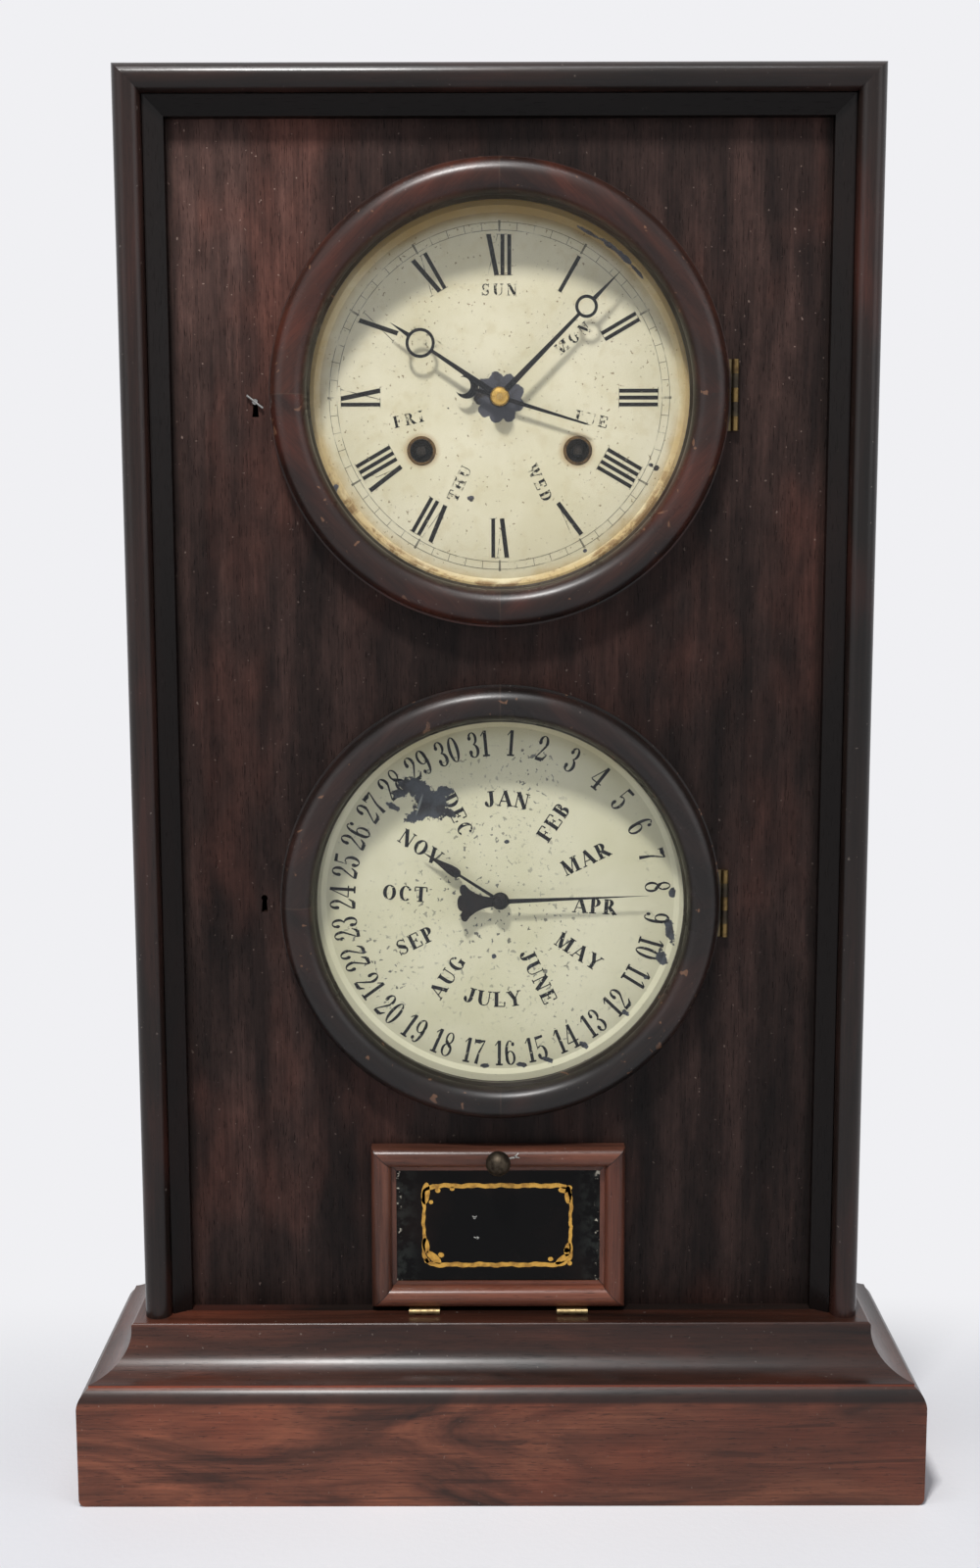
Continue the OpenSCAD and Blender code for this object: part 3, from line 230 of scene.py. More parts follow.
def wood_panel():
    t = Tree("veneer_panel")
    x, y, z = t.split()
    colour, rough, height = rosewood(t, "Z", PANEL, streak=0.6, rough=0.5, figure=0.6, broad=0.12)
    # Painted sheen, a reflection of the room: lighter at the top left, the left side and the right, near
    # black in the middle, with random mottling
    left = t.math("MULTIPLY", t.step(x, -0.02, -0.15), t.step(z, 0.5, 0.72))
    right = t.math("MULTIPLY", t.step(x, 0.05, 0.15), t.step(z, 0.42, 0.66))
    light = t.math("ADD", t.math("MULTIPLY", left, 0.95), t.math("MULTIPLY", right, 0.55))
    light = t.math("ADD", light, t.math("MULTIPLY", t.step(x, -0.05, -0.16), 0.2))
    cloud = t.noise(22.0, 5.0, 0.65, at=stretched(t, "Z", 0.7, 1.5))
    light = t.math("ADD", light, t.math("MULTIPLY", t.math("SUBTRACT", cloud, 0.5), 0.9))
    colour = t.mix(1.0, colour, t.ramp(light, (0.0, (0.8, 0.76, 0.75, 1)), (1.0, (2.4, 2.15, 2.08, 1))),
                   "MULTIPLY")
    fleck = t.noise(1.0, 4.0, 0.7, at=stretched(t, "Z", 60.0, 150.0))
    colour = t.mix(1.0, colour, t.ramp(fleck, (0.32, (0.74, 0.73, 0.73, 1)), (0.68, (1.3, 1.26, 1.24, 1))),
                   "MULTIPLY")
    # Painted shade: a near black line in the gap along the frame's inner edge
    edge = t.math("MULTIPLY", t.step(t.math("ABSOLUTE", x), 0.1715, 0.1765), 0.6)
    colour = t.mix(edge, colour, srgb(16, 12, 10))
    return t.surface(colour, rough, t.bump(height, 0.00025), Specular_IOR_Level=0.12)


def wood_plain(name, grain, tones, rough=0.4, coat=0.2, streak=0.4, figure=1.0):
    t = Tree(name)
    colour, rough_map, height = rosewood(t, grain, tones, streak=streak, rough=rough, figure=figure)
    return t.surface(colour, rough_map, t.bump(height, 0.0002), Specular_IOR_Level=0.15,
                     Coat_Weight=coat, Coat_Roughness=0.26)


def wood_base(name, grain):
    """The base: a figured red plinth, a polished cove, a red glue line and a dark band under it."""
    t = Tree(name)
    z = t.split()[2]
    low, low_rough, height = rosewood(t, grain, PLINTH, streak=0.4, rough=0.42, figure=3.2, broad=0.18)
    high = rosewood(t, grain, COVE, streak=0.35, rough=0.3, figure=1.4)[0]
    upper = t.step(z, 0.0665, 0.0672)
    colour = t.mix(upper, low, high)
    lines = t.noise(1.0, 3.0, 0.5, 0.4, at=stretched(t, grain, 9.0, 170.0))
    line_mask = t.math("MULTIPLY", t.step(lines, 0.4, 0.34), t.math("SUBTRACT", 1.0, upper))
    colour = t.mix(t.math("MULTIPLY", line_mask, 0.45), colour, srgb(24, 15, 12))
    shoulder = t.math("MULTIPLY", t.step(z, 0.0585, 0.061), t.step(z, 0.0668, 0.0655))
    colour = t.mix(t.math("MULTIPLY", shoulder, 0.85), colour, srgb(18, 13, 12))
    near = t.math("ABSOLUTE", t.math("SUBTRACT", z, GLUE_Z))
    line = t.math("MULTIPLY", t.step(near, 0.0008, 0.0003), 0.8)
    colour = t.mix(line, colour, srgb(142, 68, 44))
    # Painted light and shade: lighter at the left end of the base, darker at the right end
    x = t.split()[0]
    colour = t.mix(1.0, colour,
                   t.ramp(t.step(x, -0.2, 0.2), (0.0, (1.34, 1.3, 1.28, 1)), (1.0, (0.76, 0.77, 0.78, 1))),
                   "MULTIPLY")
    rough = t.math("ADD", t.math("MULTIPLY", upper, -0.1), low_rough)
    return t.surface(colour, rough, t.bump(height, 0.0002), Specular_IOR_Level=0.12,
                     Coat_Weight=0.42, Coat_Roughness=0.26)


def wood_ring(name, centre_z, tones):
    """A turned ring glued up from four quarters, so its grain turns at each joint."""
    t = Tree(name)
    x, y, z = t.split()
    up = t.math("SUBTRACT", z, centre_z)
    ax, az = t.math("ABSOLUTE", x), t.math("ABSOLUTE", up)
    along = t.math("SUBTRACT", ax, az)
    over = t.math("ADD", ax, az)
    quarter = t.math("ADD", t.math("MULTIPLY", t.math("SIGN", x), 0.37),
                     t.math("MULTIPLY", t.math("SIGN", up), 0.91))
    at = t.join(t.math("ADD", over, quarter), y, t.math("ADD", along, quarter))
    colour, rough, height = rosewood(t, "Z", tones, at=at, streak=0.55, rough=0.3, figure=1.2)
    joint = t.step(t.math("MINIMUM", ax, t.math("ADD", az, t.math("MULTIPLY", t.step(x, -0.02, 0.0), 1.0))),
                   0.0005, 0.0002)
    colour = t.mix(t.math("MULTIPLY", joint, 0.3), colour, srgb(84, 66, 56))
    radius = t.math("SQRT", t.math("ADD", t.math("MULTIPLY", x, x), t.math("MULTIPLY", up, up)))
    # Painted shade: the ring's inner edge at the sight darkened towards near black
    inner_edge_shade = t.step(radius, SIGHT_R + 0.0035, SIGHT_R + 0.001)
    colour = t.mix(t.math("MULTIPLY", inner_edge_shade, 0.75), colour, srgb(18, 13, 12))
    scuff = t.math("MULTIPLY", t.step(t.noise(160.0, 2.0, 0.5, 0.6), 0.69, 0.73), 0.4)
    colour = t.mix(scuff, colour, srgb(150, 110, 84))
    return t.surface(colour, rough, t.bump(height, 0.00012), Specular_IOR_Level=0.15,
                     Coat_Weight=0.42, Coat_Roughness=0.33)


def wood_door():
    """The tablet door: grain along each rail, mitred at the corners."""
    t = Tree("veneer_door")
    x, y, z = t.split()
    side = t.math("SUBTRACT", t.math("ABSOLUTE", t.math("SUBTRACT", x, DOOR_X)),
                  (DOOR_HIGH[0] - DOOR_LOW[0]) / 2)
    tall = t.math("SUBTRACT", t.math("ABSOLUTE", t.math("SUBTRACT", z, DOOR_Z)),
                  (DOOR_HIGH[2] - DOOR_LOW[2]) / 2)
    past = t.math("SUBTRACT", tall, side)
    is_rail = t.step(past, -0.0001, 0.0001)
    swap = t.add("ShaderNodeMix", data_type="VECTOR")
    t.plug(swap.inputs[0], is_rail)
    t.plug(swap.inputs[4], t.at)
    t.plug(swap.inputs[5], t.join(z, y, x))
    colour, rough, height = rosewood(t, "Z", DOOR, at=swap.outputs[1], streak=0.35, rough=0.32)
    mitre = t.math("MULTIPLY", t.step(t.math("ABSOLUTE", past), 0.0006, 0.0002), 0.7)
    colour = t.mix(mitre, colour, srgb(14, 10, 9))
    return t.surface(colour, rough, t.bump(height, 0.00012), Specular_IOR_Level=0.15,
                     Coat_Weight=0.32, Coat_Roughness=0.24)


def wood_frame(name, grain):
    """The frame moulding: polished round, and the inner slope painted near black as shade."""
    t = Tree(name)
    x, y, z = t.split()
    colour, rough, height = rosewood(t, grain, FRAME, streak=0.5, rough=0.32)
    # Painted shade on the inner slope, which faces away from the light; its coat is thinner there too
    inner = t.math("MULTIPLY", t.step(t.math("ABSOLUTE", x), 0.1880, 0.1876), t.step(z, 0.7660, 0.7656))
    if grain == "X":
        inner = t.step(z, 0.7660, 0.7656)
    colour = t.mix(t.math("MULTIPLY", inner, 0.9), colour, srgb(13, 9, 8))
    return t.surface(colour, rough, t.bump(height, 0.00012), Specular_IOR_Level=0.1,
                     Coat_Weight=t.math("SUBTRACT", 0.4, t.math("MULTIPLY", inner, 0.32)),
                     Coat_Roughness=0.22)


def pine(name, grain):
    """Plain stained softwood with fine fibre bumps."""
    t = Tree(name)
    rings = t.noise(1.0, 4.0, 0.6, at=stretched(t, grain, 3.0, 60.0))
    fibre = t.noise(1.0, 3.0, 0.6, at=stretched(t, grain, 20.0, 700.0))
    colour = t.ramp(rings, (0.35, srgb(92, 66, 44)), (0.5, srgb(134, 100, 68)), (0.68, srgb(160, 124, 86)))
    colour = t.mix(0.6, colour, t.ramp(fibre, (0.3, (0.7, 0.7, 0.7, 1)), (0.7, (1.15, 1.15, 1.15, 1))),
                   "MULTIPLY")
    stain = t.step(t.noise(7.0, 4.0), 0.45, 0.7)
    colour = t.mix(t.math("MULTIPLY", stain, 0.5), colour, srgb(70, 50, 36))
    return t.surface(colour, 0.72, t.bump(fibre, 0.0003))


# Metal

def metal(name, tone, dull, rough=0.34, spots=0.5, scale=60.0):
    """Old metal: a clean tone going to a dull one in patches, with fine scratches."""
    t = Tree(name)
    patch = t.noise(scale, 5.0, 0.62)
    fine = t.noise(scale * 22.0, 2.0, 0.5)
    colour = t.mix(t.math("MULTIPLY", t.step(patch, 0.42, 0.66), spots), tone, dull)
    colour = t.mix(t.math("MULTIPLY", t.step(fine, 0.62, 0.72), 0.35), colour, dull)
    rough_map = t.math("ADD", rough, t.math("MULTIPLY", t.math("SUBTRACT", patch, 0.45), 0.5))
    return t.surface(colour, rough_map, t.bump(fine, 0.00003), Metallic=1.0)


def blued(name):
    """Near black blued steel with a little brown bloom."""
    t = Tree(name)
    patch = t.noise(90.0, 4.0, 0.6)
    colour = t.mix(t.step(patch, 0.45, 0.7), srgb(12, 13, 16), srgb(28, 22, 20))
    return t.surface(colour, t.step(patch, 0.3, 0.7, (0.28, 0.5)), t.bump(patch, 0.00004),
                     Metallic=0.2, Specular_IOR_Level=0.2)


def hinge_brass(name, centre_z):
    """Hinge barrels rubbed bright at both ends and dark in the middle."""
    t = Tree(name)
    z = t.split()[2]
    away = t.math("ABSOLUTE", t.math("SUBTRACT", z, centre_z))
    grain = t.noise(220.0, 3.0, 0.6)
    ends = t.step(t.math("ADD", away, t.math("MULTIPLY", grain, 0.006)), 0.011, 0.019)
    colour = t.mix(ends, srgb(54, 48, 40), srgb(98, 86, 62))
    colour = t.mix(t.step(grain, 0.55, 0.68), colour, srgb(62, 50, 38))
    return t.surface(colour, t.step(grain, 0.3, 0.7, (0.34, 0.6)), t.bump(grain, 0.00005), Metallic=0.85)


# Glass

def clear_glass():
    """Thin old window glass, which lets light through and keeps a faint shine."""
    t = Tree("clear_glass")
    ripple = t.noise(30.0, 2.0)
    return t.surface(srgb(200, 204, 204), t.step(ripple, 0.3, 0.7, (0.02, 0.05)), t.bump(ripple, 0.0002),
                     Alpha=0.025, Specular_IOR_Level=0.5)


def black_glass():
    """The tablet: glass backed with black, flaked along its two upright edges."""
    t = Tree("black_glass")
    x, y, z = t.split()
    half = (DOOR_HIGH[0] - DOOR_LOW[0]) / 2 - RAIL_W
    side = t.math("SUBTRACT", t.math("ABSOLUTE", t.math("SUBTRACT", x, DOOR_X)), half)
    cloud = t.noise(150.0, 4.0, 0.65)
    worn = t.math("MULTIPLY", t.step(side, -0.016, 0.0), t.step(cloud, 0.42, 0.64))
    colour = t.mix(t.math("MULTIPLY", worn, 0.55), srgb(9, 8, 8), srgb(60, 64, 60))
    chips = t.math("MULTIPLY", t.step(side, -0.0034, -0.0016), t.step(t.noise(230.0, 3.0, 0.6), 0.6, 0.65))
    colour = t.mix(chips, colour, srgb(206, 200, 182))
    warm = t.step(t.noise(20.0, 3.0), 0.5, 0.7)
    colour = t.mix(t.math("MULTIPLY", warm, 0.35), colour, srgb(34, 22, 18))
    return t.surface(colour, 0.08, Specular_IOR_Level=0.1)


# Painted dials

SLATE = srgb(72, 76, 82)
BARE_DARK = srgb(44, 44, 46)

# Chips in the paint: place x and z, half sizes, turn in degrees, all in mm from the dial's axis
UPPER_CHIPS = [
    (48.2, 87.6, 6.5, 0.7, 29), (60.5, 80.1, 6.8, 1.0, 37), (67.7, 74.2, 5.6, 1.2, 42),
    (74.8, 66.9, 5.0, 0.7, 48),
    (86.4, -38.2, 1.6, 1.5, 0), (83.4, -36.5, 1.2, 1.0, 0), (91.5, -53.0, 2.2, 2.4, 30),
    (47.2, -83.2, 1.0, 1.0, 0),
    (-91.5, -51.0, 2.0, 4.2, 24), (-15.7, -54.6, 2.1, 1.7, 0), (-28.2, -5.6, 0.5, 0.5, 0),
]
LOWER_CHIPS = [
    (-48.0, 64.0, 9.5, 5.2, 20), (-38.5, 54.5, 10.0, 8.0, 10), (-45.0, 49.0, 9.0, 3.4, -20),
    (-57.0, 61.0, 4.0, 2.6, 0),
    (-31.0, 62.0, 5.0, 3.0, 0), (-60.5, 53.5, 4.0, 1.6, 30), (-29.0, 50.0, 4.5, 2.2, 30),
    (97.6, 3.8, 1.8, 3.2, 4), (96.4, -18.0, 2.3, 7.2, -10), (91.6, -33.4, 3.2, 4.3, -20),
    (83.0, -45.5, 1.1, 1.1, 0),
    (71.4, -65.8, 2.6, 1.4, 38), (48.0, -84.8, 2.8, 1.6, 30), (27.0, -93.4, 3.1, 1.4, 18),
    (12.4, -96.4, 3.1, 1.3, 8),
    (-9.0, -97.0, 2.6, 1.4, -5), (3.6, 33.2, 1.3, 1.3, 0), (-3.7, -32.8, 1.3, 1.3, 0),
]


def chip_mask(t, centre_z, chips, ragged):
    """1 where the paint is gone: the nearest of the listed ellipses, with a ragged edge."""
    near = None
    for x, z, wide, high, turn in chips:
        local = t.place(scale=(wide / 1000, 1000.0, high / 1000), shift=(x / 1000, 0, centre_z + z / 1000),
                        turn=(0, math.radians(turn), 0), kind="TEXTURE")
        length = t.add("ShaderNodeVectorMath", operation="LENGTH")
        t.plug(length.inputs[0], local)
        value = length.outputs["Value"]
        near = value if near is None else t.math("MINIMUM", near, value)
    edge = t.math("ADD", near, t.math("MULTIPLY", t.math("SUBTRACT", t.noise(420.0, 4.0, 0.65), 0.5), ragged))
    return t.step(edge, 1.06, 0.96)


def radius_of(t, centre_z):
    x, y, z = t.split()
    up = t.math("SUBTRACT", z, centre_z)
    return x, up, t.math("SQRT", t.math("ADD", t.math("MULTIPLY", x, x), t.math("MULTIPLY", up, up)))


def upper_paint(t, ink=None):
    """Aged cream paint of the time dial with a painted shadow at its top, under the ink where there is any.
    """
    x, up, r = radius_of(t, UPPER_Z)
    blotch = t.noise(16.0, 4.0, 0.6)
    mottle = t.noise(120.0, 3.0, 0.55)
    colour = t.mix(t.step(blotch, 0.35, 0.7), srgb(228, 221, 192), srgb(216, 208, 174))
    colour = t.mix(t.math("MULTIPLY", t.step(mottle, 0.5, 0.72), 0.35), colour, srgb(204, 190, 148))
    wander = t.math("MULTIPLY", t.math("SUBTRACT", t.noise(34.0, 4.0, 0.6), 0.5), 0.016)
    rim = t.step(t.math("ADD", r, wander), 0.0935, 0.1035)
    colour = t.mix(t.math("MULTIPLY", rim, 0.8), colour, srgb(182, 152, 92))
    # Painted shadow of the bezel: brown across the top of the dial near its rim
    top_shadow_mask = t.math("MULTIPLY", t.step(up, 0.05, 0.09), t.step(r, 0.091, 0.1))
    colour = t.mix(t.math("MULTIPLY", top_shadow_mask, 0.8), colour, srgb(138, 112, 62))
    low = t.step(up, 0.0, -0.07)
    edge = t.math("MULTIPLY", t.step(t.math("ADD", r, t.math("MULTIPLY", wander, 0.5)), 0.0985, 0.101), low)
    streaks = t.step(t.noise(70.0, 4.0, 0.7, 0.4), 0.46, 0.6)
    colour = t.mix(t.math("MULTIPLY", t.math("MULTIPLY", edge, streaks), 0.8), colour, srgb(112, 78, 40))
    for side in (-1, 1):
        dx = t.math("SUBTRACT", x, side * WIND_X)
        dz = t.math("ADD", up, WIND_DROP)
        far = t.math("SQRT", t.math("ADD", t.math("MULTIPLY", dx, dx), t.math("MULTIPLY", dz, dz)))
        stain = t.step(t.math("ADD", far, t.math("MULTIPLY", wander, 0.25)), 0.0115, 0.0072)
        colour = t.mix(t.math("MULTIPLY", stain, 0.6), colour, srgb(170, 132, 76))
    specks = t.step(t.noise(560.0, 2.0, 0.5), 0.685, 0.72)
    colour = t.mix(t.math("MULTIPLY", specks, 0.75), colour, srgb(120, 96, 58))
    if ink is not None:
        colour = t.mix(ink, colour, srgb(20, 17, 15))
    angle = t.math("ARCTAN2", up, x)
    lobes = t.math("ABSOLUTE", t.math("SINE", t.math("MULTIPLY", angle, 4.5)))
    ragged = t.math("MULTIPLY", t.math("SUBTRACT", t.noise(300.0, 3.0, 0.6), 0.5), 0.003)
    reach = t.math("ADD", t.math("SUBTRACT", r, t.math("MULTIPLY", lobes, 0.0025)), ragged)
    flower = t.step(reach, 0.0119, 0.0113)
    bare = t.math("MAXIMUM", flower, chip_mask(t, UPPER_Z, UPPER_CHIPS, 1.6))
    rust = t.step(t.noise(110.0, 4.0, 0.65), 0.5, 0.66)
    metal_tone = t.mix(rust, srgb(80, 80, 86), srgb(52, 46, 42))
    return t.mix(bare, colour, metal_tone), bare


def lower_paint(t, ink=None):
    """Greener cream paint of the calendar dial with a painted shadow at its top, its specks and the large
    bare patch.
    """
    x, up, r = radius_of(t, LOWER_Z)
    blotch = t.noise(14.0, 4.0, 0.6)
    colour = t.mix(t.step(blotch, 0.35, 0.7), srgb(224, 220, 190), srgb(211, 207, 172))
    rim = t.step(r, 0.0955, 0.1)
    colour = t.mix(t.math("MULTIPLY", rim, 0.25), colour, srgb(236, 234, 206))
    # Painted shadow of the bezel: browner across the top of the dial near its rim
    top = t.math("MULTIPLY", t.step(up, 0.05, 0.09), t.step(r, 0.09, 0.1))
    colour = t.mix(t.math("MULTIPLY", top, 0.55), colour, srgb(170, 156, 104))
    if ink is not None:
        colour = t.mix(ink, colour, srgb(20, 20, 24))
    area = t.step(t.noise(11.0, 2.0, 0.5), 0.42, 0.62)
    specks = t.math("MULTIPLY", t.step(t.noise(330.0, 2.0, 0.55, 0.5), 0.625, 0.65), area)
    inner = t.step(r, 0.094, 0.088)
    specks = t.math("MULTIPLY", specks, inner)
    tiny = t.math("MULTIPLY", t.step(t.noise(800.0, 1.0), 0.75, 0.78), 0.6)
    bare = t.math("MAXIMUM", chip_mask(t, LOWER_Z, LOWER_CHIPS, 1.7), t.math("MULTIPLY", specks, 0.85))
    bare = t.math("MAXIMUM", bare, tiny)
    cloud = t.step(t.noise(90.0, 4.0, 0.65), 0.4, 0.66)
    scratch = t.place(scale=(0.0007, 1000.0, 0.006), shift=(-0.0455, 0, LOWER_Z + 0.0545),
                      turn=(0, math.radians(18), 0), kind="TEXTURE")
    length = t.add("ShaderNodeVectorMath", operation="LENGTH")
    t.plug(length.inputs[0], scratch)
    pale = t.math("MULTIPLY", t.step(length.outputs["Value"], 1.3, 0.6), 0.6)
    metal_tone = t.mix(cloud, SLATE, BARE_DARK)
    metal_tone = t.mix(pale, metal_tone, srgb(158, 164, 160))
    return t.mix(bare, colour, metal_tone), bare


def dial_metal(name, paint, ink=None, rough=0.42):
    t = Tree(name)
    mask = None if ink is None else ink(t)
    colour, bare = paint(t, mask)
    waves = t.noise(22.0, 2.0)
    height = t.math("SUBTRACT", t.math("MULTIPLY", waves, 0.4), t.math("MULTIPLY", bare, 0.5))
    return t.surface(colour, t.step(bare, 0.0, 1.0, (rough, 0.55)), t.bump(height, 0.0003),
                     Specular_IOR_Level=0.18)


def strong_ink(t):
    """Ink of the thick strokes, broken by fine cracks."""
    worn = t.noise(260.0, 4.0, 0.7, 0.3)
    return t.step(worn, 0.27, 0.35)


def faint_ink(t):
    """Ink that survives only in places."""
    return t.math("MULTIPLY", t.step(t.noise(190.0, 4.0, 0.7), 0.4, 0.52), 0.85)


def worn_ink(t):
    """Ink rubbed away in patches, dark where it stays."""
    return t.step(t.noise(230.0, 4.0, 0.7), 0.43, 0.5)


def ghost_ink(t):
    """The last traces of ink."""
    return t.math("MULTIPLY", t.step(t.noise(230.0, 4.0, 0.7), 0.56, 0.62), 0.6)


def track_ink(t):
    return t.math("MULTIPLY", t.step(t.noise(120.0, 3.0, 0.6), 0.3, 0.5), 0.72)


def solid_ink(t):
    return t.step(t.noise(420.0, 3.0, 0.6), 0.3, 0.36)


# Letter and figure shapes, drawn from strokes in a box one unit high

STEM = 0.24
HAIR = 0.07


def bar(p, q, w0, w1=None):
    """A straight stroke from p to q, w0 wide at p and w1 at q."""
    w1 = w0 if w1 is None else w1
    run = Vector(q) - Vector(p)
    side = Vector((-run.y, run.x)).normalized()
    a, b = Vector(p), Vector(q)
    return [[a + side * w0 / 2, a - side * w0 / 2, b - side * w1 / 2, b + side * w1 / 2]]


def bow(cx, cy, rx, ry, start, end, thick=STEM, thin=HAIR):
    """An arc that is thick at its sides and thin at its top and bottom."""
    steps = max(4, int(abs(end - start) / 15))
    quads = []
    for i in range(steps):
        corners = []
        for angle, inner in ((i, 0), (i + 1, 0), (i + 1, 1), (i, 1)):
            a = math.radians(start + (end - start) * angle / steps)
            corners.append(Vector((cx + (rx - thick * inner) * math.cos(a),
                                   cy + (ry - thin * inner) * math.sin(a))))
        quads.append(corners)
    return quads


def ball(cx, cy, r):
    return [[Vector((cx + r * math.cos(i * math.pi / 5), cy + r * math.sin(i * math.pi / 5)))
             for i in range(10)]]


def foot(x, y, wide=0.4):
    return bar((x - wide / 2, y), (x + wide / 2, y), HAIR)


def stem(x, low=0.0, high=1.0, wide=STEM, feet="bt"):
    shape = bar((x, low), (x, high), wide)
    if "b" in feet:
        shape += foot(x, HAIR / 2, wide + 0.2)
    if "t" in feet:
        shape += foot(x, 1 - HAIR / 2, wide + 0.2)
    return shape


def arm(x0, x1, y, tick):
    """A thin arm with an upright tick at its end."""
    return bar((x0, y), (x1, y), HAIR) + bar((x1, y), (x1, y + tick), HAIR * 0.8, HAIR * 1.6)


def half_turn(shape, cx, cy):
    return [[Vector((2 * cx - p.x, 2 * cy - p.y)) for p in poly] for poly in shape]


